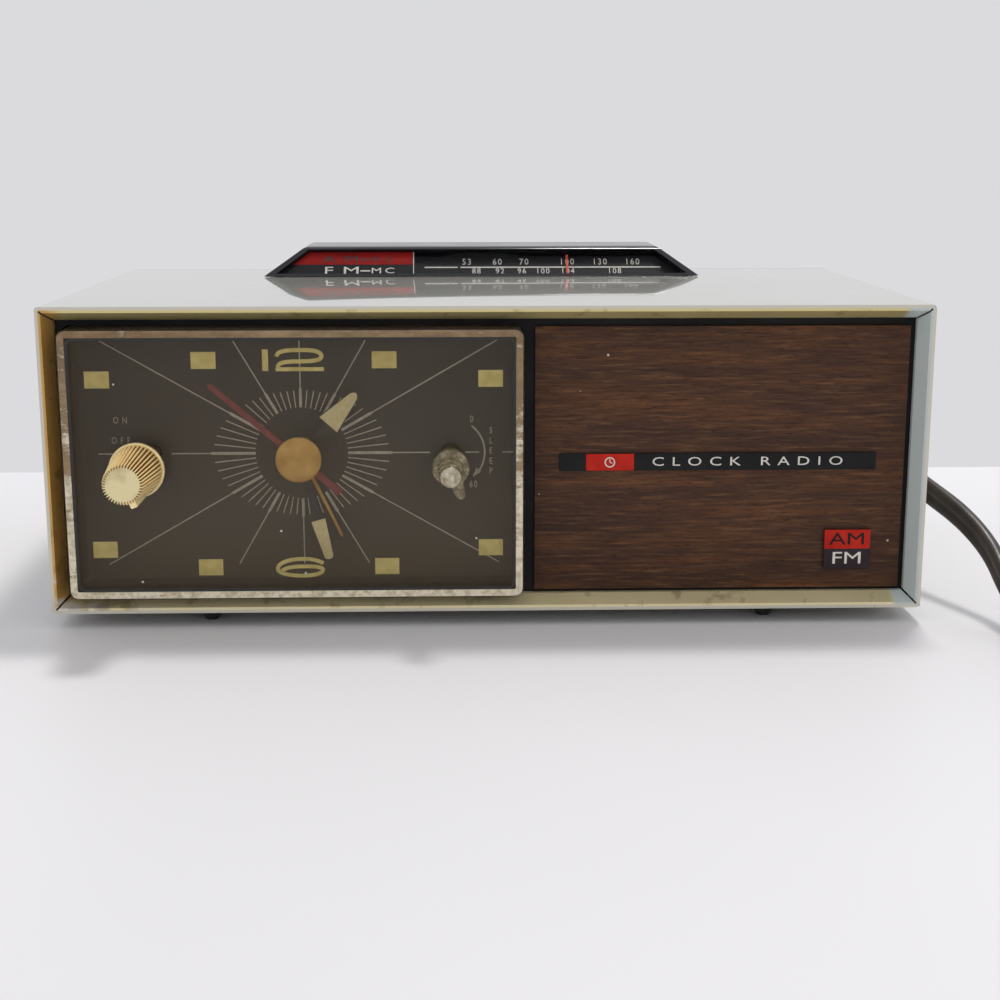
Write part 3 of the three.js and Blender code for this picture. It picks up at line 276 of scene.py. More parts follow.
def linear(colour):
    """An sRGB colour, as a hex value or as three parts, turned to linear with full alpha."""
    if isinstance(colour, str):
        colour = [int(colour[i:i + 2], 16) / 255 for i in (1, 3, 5)]
    return [c / 12.92 if c <= 0.04045 else ((c + 0.055) / 1.055) ** 2.4 for c in colour[:3]] + [1.0]


def add(tree, kind, settings=None, wires=None):
    """Adds a node, sets its own settings or socket values, and wires its inputs."""
    made = tree.nodes.new(kind)
    for key, value in (settings or {}).items():
        if isinstance(key, str) and hasattr(made, key):
            setattr(made, key, value)
        else:
            made.inputs[key].default_value = value
    for socket, source in (wires or {}).items():
        tree.links.new(source, made.inputs[socket])
    return made


def surface(name, settings=None):
    """A material with one Principled shader, and its node tree, shader and object coordinates."""
    material = bpy.data.materials.new(name)
    material.use_nodes = True
    tree = material.node_tree
    tree.nodes.clear()
    shader = add(tree, "ShaderNodeBsdfPrincipled", settings)
    add(tree, "ShaderNodeOutputMaterial", wires={"Surface": shader.outputs[0]})
    where = add(tree, "ShaderNodeTexCoord").outputs["Object"]
    return material, tree, shader, where


def ramp(tree, source, stops):
    """A colour ramp over a value, from (position, colour) stops."""
    made = add(tree, "ShaderNodeValToRGB", wires={"Fac": source})
    band = made.color_ramp
    while len(band.elements) < len(stops):
        band.elements.new(1.0)
    for element, (position, colour) in zip(band.elements, stops):
        element.position, element.color = position, linear(colour)
    return made.outputs["Color"]


def grey(value):
    """A neutral colour for a ramp that carries a number."""
    value = value * 12.92 if value <= 0.0031308 else 1.055 * value ** (1 / 2.4) - 0.055
    return (value, value, value)


def noise(tree, where, grain_mm, detail=3.0, stretch=(1, 1, 1), roughness=0.5):
    """A noise whose features are about grain_mm across, drawn out along an axis by stretch."""
    mapped = add(tree, "ShaderNodeMapping", {"Scale": [1000 / grain_mm / s for s in stretch]},
                 {"Vector": where})
    return add(tree, "ShaderNodeTexNoise", {"Scale": 1.0, "Detail": detail, "Roughness": roughness},
               {"Vector": mapped.outputs[0]}).outputs["Fac"]


def mask(tree, source, start, end, low=0.0, high=1.0):
    """A number that goes from low to high as its source goes from start to end."""
    return ramp(tree, source, [(start, grey(low)), (end, grey(high))])


def spread(tree, value, start, end):
    """How far a value has come from start to end, from 0 to 1."""
    return add(tree, "ShaderNodeMapRange", {"From Min": start, "From Max": end},
               {"Value": value}).outputs[0]


def feed(tree, shader, sources):
    """Wires sources to the shader's sockets."""
    for socket, source in sources.items():
        tree.links.new(source, shader.inputs[socket])


def relief(tree, shader, height, depth_mm):
    """Turns a height from 0 to 1 into surface relief that deep."""
    made = add(tree, "ShaderNodeBump", {"Strength": 1.0, "Distance": depth_mm * MM},
               {"Height": height})
    tree.links.new(made.outputs[0], shader.inputs["Normal"])


def varied(name, dark, light, grain_mm, rough, depth_mm=0.0, relief_mm=None, **settings):
    """A finish whose colour and gloss drift between two values, with a fine relief."""
    material, tree, shader, where = surface(name, settings)
    drift = noise(tree, where, grain_mm)
    colour = ramp(tree, drift, [(0.3, dark), (0.7, light)])
    gloss = mask(tree, drift, 0.3, 0.7, rough[1], rough[0])
    feed(tree, shader, {"Base Color": colour, "Roughness": gloss})
    if depth_mm:
        fine = noise(tree, where, relief_mm or grain_mm / 4, detail=2.0)
        relief(tree, shader, fine, depth_mm)
    return material


FINISH = {}


def place_of(tree, where, axis):
    """One axis of the object coordinates, in cabinet millimetres."""
    parts = add(tree, "ShaderNodeSeparateXYZ", wires={"Vector": where})
    zero = CABINET_ZERO["XYZ".index(axis)]
    return add(tree, "ShaderNodeMapRange",
               {"From Min": zero, "From Max": zero + 1, "To Min": 0.0, "To Max": 1000.0,
                "clamp": False}, {"Value": parts.outputs[axis]}).outputs[0]


def calc(tree, operation, *values):
    """A sum, product or comparison of sockets and numbers."""
    made = tree.nodes.new("ShaderNodeMath")
    made.operation = operation
    for socket, value in zip(made.inputs, values):
        if isinstance(value, (int, float)):
            socket.default_value = value
        else:
            tree.links.new(value, socket)
    return made.outputs[0]


def mixed(tree, amount, first, second):
    """One colour laid over another by an amount."""
    made = add(tree, "ShaderNodeMix", {"data_type": "RGBA"}, {0: amount})
    for socket, value in ((made.inputs[6], first), (made.inputs[7], second)):
        if isinstance(value, str):
            socket.default_value = linear(value)
        else:
            tree.links.new(value, socket)
    return made.outputs[2]


def make_enamel(settings):
    """Stoved enamel on folded steel: a smooth warm grey gloss that mirrors what stands on it,
    with a dark band along the rear edge."""
    material, tree, shader, where = surface("stoved_enamel_on_steel",
                                            {"Coat Weight": 1.0, "Coat Roughness": 0.03,
                                             "Coat IOR": 1.65, "Specular IOR Level": 0.5})
    cloud = noise(tree, where, 60.0, detail=4.0)
    colour = ramp(tree, cloud, [(0.3, "#aeada3"), (0.7, settings.cabinet_colour)])
    specks = noise(tree, where, 1.3, detail=1.0)
    dirt = mask(tree, specks, 0.74, 0.80, high=0.5)
    colour = mixed(tree, dirt, colour, "#8d8a7f")
    rear = spread(tree, place_of(tree, where, "Y"), 159.2, 160.2)
    colour = mixed(tree, rear, colour, "#3b3935")
    feed(tree, shader, {"Base Color": colour, "Roughness": mask(tree, cloud, 0.3, 0.7, 0.34, 0.24)})
    relief(tree, shader, noise(tree, where, 9.0, detail=2.0), 0.006)
    return material


def make_gilt_lip():
    """Gold-lacquered steel with painted reflections: a thin cream painted highlight on the turned
    edge, and a sloping return whose painted reflection is olive gold above and pale cream low
    down, brown gold at the left and pale blue-grey at the right; low down at the left the
    lacquer is also worn to silver."""
    material, tree, shader, where = surface("gold_lacquered_steel_edge")
    x, y, z = (place_of(tree, where, axis) for axis in "XYZ")
    across = spread(tree, x, -145.0, 145.0)
    upward = spread(tree, z, 0.0, HEIGHT)
    # Painted reflection: the return's colour changes with height, pale cream low down, gold in the
    # middle and pale olive gold above.
    level = ramp(tree, upward, [(0.08, "#f0e3b4"), (0.5, "#d8ba74"), (0.92, "#dccd92")])
    # Painted reflection: the return at the far left turns brown gold.
    brown = mask(tree, across, 0.012, 0.03, 1.0, 0.0)
    colour = mixed(tree, brown, level, "#cda056")
    worn = noise(tree, where, 14.0, detail=6.0, roughness=0.7)
    low_left = spread(tree, x, -60.0, -150.0)
    low = spread(tree, z, 30.0, 0.0)
    patch = calc(tree, "MULTIPLY", low_left, low)
    rubbed = calc(tree, "ADD", calc(tree, "MULTIPLY", patch, 0.3), worn)
    rubbed = mask(tree, rubbed, 0.72, 0.82)
    colour = mixed(tree, rubbed, colour, "#dedcd2")
    stains = calc(tree, "MULTIPLY_ADD", patch, 0.16, noise(tree, where, 6.0, detail=5.0))
    stains = mask(tree, stains, 0.6, 0.72, high=0.45)
    colour = mixed(tree, stains, colour, "#7c6238")
    # Painted reflection: the return at the right turns pale blue-grey.
    painted = mask(tree, across, 0.966, 0.972)
    colour = mixed(tree, painted, colour, "#bfc8c6")
    # Painted highlight: a cream band about 1 mm wide along the outer front edge of the lip.
    off_x = calc(tree, "SUBTRACT", 145.0, calc(tree, "ABSOLUTE", x))
    off_z = calc(tree, "SUBTRACT", 50.8, calc(tree, "ABSOLUTE", calc(tree, "SUBTRACT", z, 50.8)))
    inwards = calc(tree, "MAXIMUM", calc(tree, "MINIMUM", off_x, off_z), y)
    edge = mask(tree, spread(tree, inwards, 0.0, 2.0), 0.45, 0.62, 1.0, 0.0)
    colour = mixed(tree, edge, colour, "#d3cfc0")
    feed(tree, shader, {"Base Color": colour})
    metal = calc(tree, "MULTIPLY", calc(tree, "SUBTRACT", 1.0, painted), 0.55)
    feed(tree, shader,
         {"Metallic": calc(tree, "MAXIMUM", metal, calc(tree, "MULTIPLY", edge, 0.5)),
          "Roughness": mask(tree, worn, 0.3, 0.7, 0.26, 0.42)})
    relief(tree, shader, noise(tree, where, 1.2, detail=2.0, stretch=(8, 1, 1)), 0.01)
    return material


def make_walnut(settings):
    """Walnut-print vinyl on hardboard: long level grain with fine broken pore lines and a low
    sheen, the print a little flat and the pores a little pressed in."""
    material, tree, shader, where = surface("walnut_print_vinyl",
                                            {"Specular IOR Level": 0.18, "Roughness": 0.5})
    warp = noise(tree, where, 30.0, detail=2.0, stretch=(4, 1, 1))
    bent = add(tree, "ShaderNodeVectorMath", {"operation": "MULTIPLY_ADD", 1: (0, 0, 0.003)},
               {0: add(tree, "ShaderNodeCombineXYZ", wires={"Z": warp}).outputs[0],
                2: where}).outputs[0]
    bands = noise(tree, bent, 4.5, detail=5.0, stretch=(12, 1, 1), roughness=0.6)
    streaks = noise(tree, bent, 0.9, detail=4.0, stretch=(16, 1, 1), roughness=0.65)
    pores = noise(tree, bent, 0.45, detail=2.0, stretch=(9, 1, 1), roughness=0.6)
    colour = ramp(tree, bands, [(0.25, "#3d281c"), (0.45, settings.wood_colour),
                                (0.62, "#5c3b26"), (0.8, "#6e4930")])
    fine = mask(tree, streaks, 0.36, 0.5, 0.55, 0.0)
    colour = mixed(tree, fine, colour, "#33211a")
    light = mask(tree, streaks, 0.54, 0.72, high=0.5)
    colour = mixed(tree, light, colour, "#85603f")
    dark = mask(tree, pores, 0.34, 0.42, 0.6, 0.0)
    colour = mixed(tree, dark, colour, "#2a1a12")
    chips = add(tree, "ShaderNodeTexVoronoi", {"Scale": 70.0}, {"Vector": where})
    chip = mask(tree, chips.outputs["Distance"], 0.022, 0.034, 0.8, 0.0)
    colour = mixed(tree, chip, colour, "#d9cfc0")
    feed(tree, shader, {"Base Color": colour})
    relief(tree, shader, streaks, 0.05)
    return material


def make_crystal_border():
    """Hot-stamped silver on clear acrylic: a bright cream-silver rim, flaked to brown along the
    top and scuffed to bare plastic at the corners."""
    material, tree, shader, where = surface("hot_stamped_silver_rim", {"Metallic": 0.55})
    z = place_of(tree, where, "Z")
    x = place_of(tree, where, "X")
    high = spread(tree, z, 10.0, 92.0)
    left = spread(tree, x, 10.0, -138.0)
    flakes = noise(tree, where, 5.0, detail=8.0, stretch=(2.2, 1, 1), roughness=0.75)
    grain = noise(tree, where, 0.9, detail=3.0, stretch=(2, 1, 2))
    wear = calc(tree, "MULTIPLY_ADD", high, 0.26, flakes)
    wear = calc(tree, "MULTIPLY_ADD", grain, 0.14, wear)
    wear = calc(tree, "MULTIPLY_ADD", left, 0.02, wear)
    gone = mask(tree, wear, 0.66, 0.74)
    silver = ramp(tree, grain, [(0.3, "#b9ad90"), (0.6, "#e6dcc4")])
    brown = ramp(tree, flakes, [(0.35, "#745e46"), (0.65, "#a8906f")])
    feed(tree, shader,
         {"Base Color": mixed(tree, gone, silver, brown),
          "Roughness": mask(tree, wear, 0.6, 0.8, 0.32, 0.6)})
    relief(tree, shader, wear, 0.12)
    return material


def make_clear_acrylic(name, tint, deeper, alpha, dust=True, gloss=0.5):
    """Cast clear acrylic gone slightly smoky: it shows what is behind it through a thin haze,
    with scratches and dust that catch the light."""
    material, tree, shader, where = surface(name,
                                            {"Roughness": 0.08, "IOR": 1.49,
                                             "Specular IOR Level": gloss})
    haze = noise(tree, where, 35.0, detail=3.0)
    scratch = noise(tree, where, 0.7, detail=2.0, stretch=(1, 1, 12))
    colour = ramp(tree, haze, [(0.3, tint), (0.7, deeper)])
    clear = mask(tree, haze, 0.3, 0.7, alpha * 0.8, alpha * 1.2)
    marks = mask(tree, scratch, 0.72, 0.8, high=0.10)
    opacity = calc(tree, "ADD", clear, marks)
    if dust:
        cells = add(tree, "ShaderNodeTexVoronoi", {"Scale": 60.0}, {"Vector": where})
        speck = mask(tree, cells.outputs["Distance"], 0.018, 0.03, 1.0, 0.0)
        colour = mixed(tree, speck, colour, "#efe9dc")
        opacity = calc(tree, "ADD", opacity, calc(tree, "MULTIPLY", speck, 0.75))
    feed(tree, shader, {"Base Color": colour, "Alpha": opacity})
    return material


def make_dial_paint(settings):
    """Matt sprayed lacquer on a card-backed tin dial: brown-black, lighter and warmer towards the
    bottom.
    """
    material, tree, shader, where = surface("matt_sprayed_dial", {"Specular IOR Level": 0.3})
    z = place_of(tree, where, "Z")
    height = spread(tree, z, 10.0, 92.0)
    cloud = noise(tree, where, 40.0, detail=4.0)
    height_tone = calc(tree, "MULTIPLY_ADD", cloud, 0.3, height)
    colour = ramp(tree, height_tone, [(0.15, "#5a5142"), (0.65, settings.dial_colour),
                               (1.1, "#3a3633")])
    feed(tree, shader, {"Base Color": colour, "Roughness": mask(tree, cloud, 0.3, 0.7, 0.5, 0.62)})
    relief(tree, shader, noise(tree, where, 0.6, detail=2.0), 0.002)
    return material


def make_materials(settings):
    """Makes every finish once, under the name of the real thing it stands for."""
    FINISH["enamel"] = make_enamel(settings)
    FINISH["lip"] = make_gilt_lip()
    FINISH["walnut"] = make_walnut(settings)
    FINISH["border"] = make_crystal_border()
    FINISH["crystal"] = make_clear_acrylic("smoky_cast_acrylic", "#736753", "#655947", 0.16)
    FINISH["crystal_wall"] = make_clear_acrylic("browned_acrylic_wall", "#5b4732", "#463626",
                                                0.55, dust=False)
    FINISH["window"] = make_clear_acrylic("clear_tinted_window", "#202126", "#1b1c20", 0.06,
                                          dust=False, gloss=0.15)
    FINISH["dial"] = make_dial_paint(settings)
    # Screen-printed cream ink, thin and slightly rubbed.
    FINISH["ink"] = varied("cream_screen_ink", "#b8ae98", "#d3cab4", 2.0, (0.5, 0.65))
    # Luminous compound: a thick yellowed paint with a dry, grainy face.
    FINISH["lume"] = varied("aged_luminous_paint", "#e6d08c", "#f6e6ad", 1.6, (0.55, 0.7), 0.05)
    # Luminous figures behind the crystal, hot-stamped and cleaner than the hands.
    FINISH["figures"] = varied("stamped_luminous_figure", "#b5a256", "#cdbb74", 3.0, (0.4, 0.5))
    # Black nitrocellulose paint on the hands, satin.
    FINISH["hand_black"] = varied("satin_black_hand_paint", "#1d1a18", "#2a2623", 3.0, (0.35, 0.5))
    # Red enamel of the second hand, dulled to a brick red.
    FINISH["hand_red"] = varied("dulled_red_enamel", "#7d2a27", "#93353a", 4.0, (0.4, 0.5))
    # Spun and lacquered brass of the centre cap: fine turning rings in a warm dull gold.
    FINISH["cap"] = varied("lacquered_spun_brass", "#c4954b", "#e6b868", 6.0, (0.34, 0.46), 0.01,
                           Metallic=0.75)
    # Vacuum-plated knob: bright yellow gold with dull brown worn flats.
    FINISH["gold"] = make_knob_gold()
    FINISH["lever"] = make_lever_plastic()
    # Zinc-plated screw and cap: pale blue-grey metal with fine stains.
    FINISH["zinc"] = varied("zinc_plated_steel", "#9a9a96", "#bdbdb8", 2.5, (0.28, 0.45), 0.01,
                            Metallic=0.9)
    # The lever's pressed cap: nickel plate gone warm and spotted.
    FINISH["button"] = varied("tarnished_nickel_button", "#94866a", "#d8d0bc", 1.6, (0.25, 0.4),
                              0.01, Metallic=0.7)
    # Bare cold-rolled steel of the chassis and cans, dull and slightly blotched.
    FINISH["steel"] = varied("cold_rolled_steel", "#8b8c8a", "#a9aaa6", 18.0, (0.35, 0.55), 0.01,
                             Metallic=1.0)
    # Clock brass: yellow, milled, a little tarnished.
    FINISH["brass"] = varied("milled_clock_brass", "#8d6d31", "#c3a158", 9.0, (0.28, 0.42), 0.01,
                             Metallic=1.0)
    # High-impact polystyrene with a moulded gloss for the hood.
    FINISH["gloss_black"] = varied("gloss_black_polystyrene", "#101114", "#1a1b1f", 30.0,
                                   (0.10, 0.18), 0.004, relief_mm=6.0)
    # The front moulding: the same plastic left matt, in the shade of the flanges.
    FINISH["front_black"] = varied("matt_black_polystyrene", "#0e0c0b", "#171312", 14.0,
                                   (0.45, 0.6), 0.01, relief_mm=0.8,
                                   **{"Specular IOR Level": 0.2})
    # Phenolic and painted black pieces with a spark-eroded texture.
    FINISH["matt_black"] = varied("textured_black_phenolic", "#161514", "#24221f", 8.0,
                                  (0.5, 0.65), 0.03, relief_mm=0.7)
    # Printed black ground of the name bar and scale: a flat ink under a clear coat.
    FINISH["bar_black"] = varied("black_silk_screen_ground", "#0d0d0f", "#151517", 10.0,
                                 (0.35, 0.45), **{"Specular IOR Level": 0.22})
    # Signal-red printing ink, slightly orange, on the bar and the wave-band badge.
    FINISH["bar_red"] = varied("signal_red_print", "#b21d10", "#c82a1a", 5.0, (0.32, 0.42),
                               **{"Specular IOR Level": 0.15})
    # The badge's lower half: a very dark plum ground, as black ink looks over red.
    FINISH["plum"] = varied("black_over_red_print", "#22141b", "#2c1a22", 5.0, (0.35, 0.45),
                            **{"Specular IOR Level": 0.3})
    # The same red on the scale, seen through the smoked window.
    FINISH["scale_red"] = varied("dark_red_scale_print", "#86110b", "#991810", 5.0, (0.4, 0.5),
                                 **{"Specular IOR Level": 0.1})
    FINISH["white_print"] = varied("white_screen_print", "#cfcac0", "#e6e2d9", 3.0, (0.4, 0.5))
    FINISH["pointer"] = varied("fluorescent_red_pointer", "#c23a26", "#e0543a", 3.0, (0.35, 0.45))
    # Tempered hardboard back, stained dark, with a pressed fibre surface.
    FINISH["hardboard"] = varied("stained_tempered_hardboard", "#3b2c20", "#57412f", 3.2,
                                 (0.55, 0.75), 0.10, relief_mm=0.8)
    # Paper-phenolic circuit board: amber brown, faintly mottled.
    FINISH["board"] = varied("paper_phenolic_board", "#7b5a2a", "#9a7437", 7.0, (0.4, 0.5), 0.02)
    # Pressed paper-pulp speaker cone, dark grey felted fibres.
    FINISH["cone"] = varied("felted_paper_pulp", "#2c2a28", "#3d3a36", 2.2, (0.8, 0.9), 0.08)
    # Moulded rubber feet, bloomed grey at the surface.
    FINISH["rubber"] = varied("bloomed_moulded_rubber", "#1b1a19", "#2d2b29", 5.0, (0.6, 0.8), 0.03)
    # Extruded PVC flex: brown, with the faint sheen and drag lines of the die.
    FINISH["pvc"] = varied("extruded_brown_pvc", "#2a231e", "#3d342d", 12.0, (0.32, 0.45), 0.02,
                           relief_mm=1.2)
    # Ferrite rod: charcoal ceramic with a ground surface.
    FINISH["ferrite"] = varied("ground_ferrite", "#26262a", "#38383c", 4.0, (0.45, 0.6), 0.02)
    # Glass envelope of the dial lamp.
    FINISH["glass"] = make_clear_acrylic("lamp_glass", "#cfd2cf", "#c2c5c4", 0.3, dust=False)


def make_knob_gold():
    """Vacuum-metallised gold on a moulded knob: bright yellow on the crests of the serrations,
    dark brown in the valleys and a rubbed, paler front face."""
    material, tree, shader, where = surface("vacuum_plated_gold", {"Metallic": 0.3})
    x = calc(tree, "SUBTRACT", place_of(tree, where, "X"), MODE.x)
    z = calc(tree, "SUBTRACT", place_of(tree, where, "Z"), MODE.z)
    y = place_of(tree, where, "Y")
    radius = calc(tree, "SQRT",
                  calc(tree, "ADD", calc(tree, "MULTIPLY", x, x), calc(tree, "MULTIPLY", z, z)))
    cone = calc(tree, "MULTIPLY_ADD", y, 0.0996, 9.6)
    depth = calc(tree, "SUBTRACT", cone, radius)
    crest = ramp(tree, spread(tree, depth, 0.0, 0.95),
                 [(0.4, "#ffeab0"), (0.65, "#e6b04c"), (0.9, "#774c12")])
    front = mask(tree, spread(tree, y, -31.9, -31.2), 0.2, 0.9, 1.0, 0.0)
    smudge = mask(tree, noise(tree, where, 7.0, detail=4.0), 0.5, 0.75, high=0.6)
    face = mixed(tree, smudge, "#eadba9", "#8d7849")
    feed(tree, shader,
         {"Base Color": mixed(tree, front, crest, face),
          "Roughness": mask(tree, noise(tree, where, 3.0), 0.3, 0.7, 0.24, 0.4)})
    return material


def make_lever_plastic():
    """Clear acrylic lever, crazed and greyed, with yellowed glue behind the metal cap."""
    material, tree, shader, where = surface("crazed_clear_acrylic_lever",
                                            {"Roughness": 0.18, "IOR": 1.49})
    craze = noise(tree, where, 2.4, detail=6.0, roughness=0.7)
    colour = ramp(tree, craze, [(0.3, "#5f5640"), (0.5, "#8f8365"), (0.7, "#c9bd9a")])
    feed(tree, shader, {"Base Color": colour, "Alpha": mask(tree, craze, 0.3, 0.7, 0.45, 0.78)})
    relief(tree, shader, craze, 0.12)
    return material


# ---- shapes used by several pieces ---------------------------------------------------------------

FACET_UP = Vector((0, 10, 11.2)).normalized()
FACET_OUT = Vector((1, 0, 0)).cross(FACET_UP)
FACET = Matrix.Translation((0, 119, HEIGHT)) @ Matrix((
    (1, 0, 0, 0), (0, FACET_UP.y, FACET_OUT.y, 0), (0, FACET_UP.z, FACET_OUT.z, 0), (0, 0, 0, 1)))


def smooth_route(points, per_span):
    """A centripetal Catmull-Rom curve through the points, as evenly timed samples."""
    points = [Vector(p) for p in points]
    ends = [2 * points[0] - points[1], *points, 2 * points[-1] - points[-2]]
    samples = []
    for a, b, c, d in zip(ends, ends[1:], ends[2:], ends[3:]):
        t1 = (b - a).length ** 0.5
        t2 = t1 + (c - b).length ** 0.5
        t3 = t2 + (d - c).length ** 0.5
        for step in range(per_span):
            t = t1 + (t2 - t1) * step / per_span
            ab = a * ((t1 - t) / t1) + b * (t / t1)
            bc = b * ((t2 - t) / (t2 - t1)) + c * ((t - t1) / (t2 - t1))
            cd = c * ((t3 - t) / (t3 - t2)) + d * ((t - t2) / (t3 - t2))
            abc = ab * ((t2 - t) / t2) + bc * (t / t2)
            bcd = bc * ((t3 - t) / (t3 - t1)) + cd * ((t - t1) / (t3 - t1))
            samples.append(abc * ((t2 - t) / (t2 - t1)) + bcd * ((t - t1) / (t2 - t1)))
    return samples + [points[-1]]


def stroke(bm, points, width, y_front, y_back, finish=0):
    """A flat pen stroke of even width along a path on the face, as a thin solid."""
    path = [Vector(p) for p in points]
    pairs = []
    for i, at in enumerate(path):
        along = (path[min(i + 1, len(path) - 1)] - path[max(i - 1, 0)]).normalized()
        side = Vector((-along.y, along.x)) * width / 2
        pairs.append([bm.verts.new((p.x, y_front, p.y)) for p in (at - side, at + side)])
    faces = [bm.faces.new((a[0], b[0], b[1], a[1])) for a, b in zip(pairs, pairs[1:])]
    thickened(bm, faces, (0, y_back - y_front, 0), finish)


def knurled(bm, radius_front, radius_back, front, back, count, bite, finish=0):
    """A round, tapered, serrated cap from front to back along Y, closed at both ends."""
    segments = count * 4
    rings = []
    for radius, y in ((radius_front - 0.35, front), (radius_front, front + 0.3),
                      (radius_back, back - 0.1)):
        made = bmesh.ops.create_circle(bm, cap_ends=False, radius=radius, segments=segments,
                                       matrix=Matrix.Translation((0, y, 0)) @ ALONG_Y)
        ring = made["verts"]
        for i, vert in enumerate(ring):
            turn = math.atan2(vert.co.z, vert.co.x) / math.tau * segments
            if round(turn) % 4 in (2, 3):
                scale = 1 - bite / radius
                vert.co.x *= scale
                vert.co.z *= scale
        rings.append(ring)
    for first, second in zip(rings, rings[1:]):
        chosen = set(first) | set(second)
        edges = [e for v in chosen for e in v.link_edges if e.is_wire or e.is_boundary]
        edges = [e for e in set(edges) if set(e.verts) <= set(first) or set(e.verts) <= set(second)]
        bmesh.ops.bridge_loops(bm, edges=edges)
    for ring in (rings[0], rings[-1]):
        loop = [e for v in ring for e in v.link_edges if e.is_boundary]
        bmesh.ops.contextual_create(bm, geom=list(set(loop)))
    for face in {f for ring in rings for v in ring for f in v.link_faces}:
        face.material_index = finish


def hand_shape(bm, points, front, thick, degrees, finish, bevel=0.0):
    """One flat part of a hand, drawn upright at twelve and turned to its time."""
    known = set(bm.verts)
    slab(bm, points, front, front + thick, bevel=bevel, finish=finish)
    turn = CLOCK_AXIS @ Matrix.Rotation(math.radians(degrees), 4, "Y")
    bmesh.ops.transform(bm, matrix=turn, verts=[v for v in bm.verts if v not in known])


def hub(bm, bore, outside, front, back, finish=0):
    """The ring by which a hand is pressed on its tube."""
    lathe(bm, [(bore, front), (outside - 0.3, front), (outside, front + 0.15), (outside, back),
               (bore, back), (bore, front)],
          CLOCK_AXIS @ BACKWARD, finish=finish)


def cord_path():
    """The flex's centre line: off the relief, round the side, down to the table and into a coil."""
    path = smooth_route(CORD_ROUTE, 5)
    start, turns = 180.0, 5.2
    radii = [62.9, COIL_MIDDLE + COIL_PITCH, COIL_MIDDLE, COIL_MIDDLE - COIL_PITCH,
             COIL_MIDDLE - COIL_PITCH, COIL_MIDDLE, COIL_MIDDLE]
    heights = [LYING, LYING, LYING, LYING, LYING + COIL_PITCH, LYING + COIL_PITCH,
               LYING + COIL_PITCH]
    step = 6.0
    for i in range(1, int(turns * 360 / step) + 1):
        turn = i * step
        lap = int(turn // 360)
        share = min(1.0, (turn - lap * 360) / 60.0)
        ease = share * share * (3 - 2 * share)
        radius = radii[lap] + (radii[lap + 1] - radii[lap]) * ease
        height = heights[lap] + (heights[lap + 1] - heights[lap]) * ease
        rise = min(1.0, max(0.0, (turn - (turns * 360 - 96)) / 84.0))
        height += (PLUG_BACK.z - LYING - COIL_PITCH) * rise * rise * (3 - 2 * rise)
        angle = math.radians(start + turn)
        path.append(Vector((COIL_CENTRE.x + radius * math.cos(angle),
                            COIL_CENTRE.y + radius * math.sin(angle), height)))
    path.append(PLUG_BACK + Vector((-0.3, 0, 0)))
    return path


def flex_section():
    """The flex's outline: two insulated cores side by side with a groove between them."""
    lobe = CORD_THICK / 2
    centre = CORD_WIDTH / 2 - lobe
    waist = 0.68 * lobe
    points = []
    for sign in (1, -1):
        for degrees in (-38, 0, 30, 60, 90, 120, 150, 180, 218):
            angle = math.radians(degrees)
            points.append((sign * lobe * math.cos(angle),
                           sign * (centre + lobe * math.sin(angle))))
        points.append((-sign * waist, 0))
    return points


def sweep(bm, path, section):
    """Carries an upright section along a path and closes its ends."""
    rings = []
    for i, at in enumerate(path):
        along = (path[min(i + 1, len(path) - 1)] - path[max(i - 1, 0)]).normalized()
        up = (Vector((0, 0, 1)) - along * along.z).normalized()
        side = along.cross(up)
        rings.append([bm.verts.new(at + side * a + up * b) for a, b in section])
    for first, second in zip(rings, rings[1:]):
        for k in range(len(section)):
            nxt = (k + 1) % len(section)
            bm.faces.new((first[k], first[nxt], second[nxt], second[k]))
    bm.faces.new(rings[0])
    bm.faces.new(reversed(rings[-1]))


# ---- settings ------------------------------------------------------------------------------------

def colour_choice(name, description, default):
    """A colour that the panel offers."""
    return bpy.props.FloatVectorProperty(name=name, description=description, default=default,
                                         subtype="COLOR_GAMMA", size=3, min=0, max=1)


def length_choice(name, description, default, least, most):
    """A length that the panel offers, in metres."""
    return bpy.props.FloatProperty(name=name, description=description, default=default,
                                   min=least, max=most, subtype="DISTANCE", unit="LENGTH")


class ClockRadioColours(bpy.types.PropertyGroup):
    """Colours of the finishes that are most often changed."""

    cabinet_colour: colour_choice("Cabinet", "Enamel of the folded sleeve", (0.71, 0.705, 0.67))
    wood_colour: colour_choice("Wood print", "Middle tone of the walnut", (0.298, 0.2, 0.148))
    dial_colour: colour_choice("Dial", "Sprayed ground of the dial", (0.275, 0.25, 0.222))
    wall_colour: colour_choice("Wall", "Pale surround that lights the scene", (0.9, 0.9, 0.91))
    floor_colour: colour_choice("Table", "Painted table top", (0.9, 0.895, 0.9))


class ClockRadioSizes(bpy.types.PropertyGroup):
    """Sizes that a maker would change without touching the frame."""

    fold_radius: length_choice("Fold radius", "Outside radius of the sleeve's folds",
                               0.0011, 0.0002, 0.002)
    moulding_edge: length_choice("Moulding edge", "Rounding of moulded plastic edges",
                                 0.0004, 0.0001, 0.001)
    rim_width: length_choice("Silver rim", "Width of the stamped rim on the crystal",
                             0.00275, 0.001, 0.005)
    serrations: bpy.props.IntProperty(
        name="Serrations", description="Ridges round the gold knob", default=40, min=20, max=60)
    lens: bpy.props.FloatProperty(
        name="Lens", description="Focal length of the camera in millimetres", default=57.97,
        min=20, max=200)
    key_power: bpy.props.FloatProperty(
        name="Key light", description="Power of the soft light above the front", unit="POWER",
        default=11.0, min=0, max=500)


# ---- the stage -----------------------------------------------------------------------------------

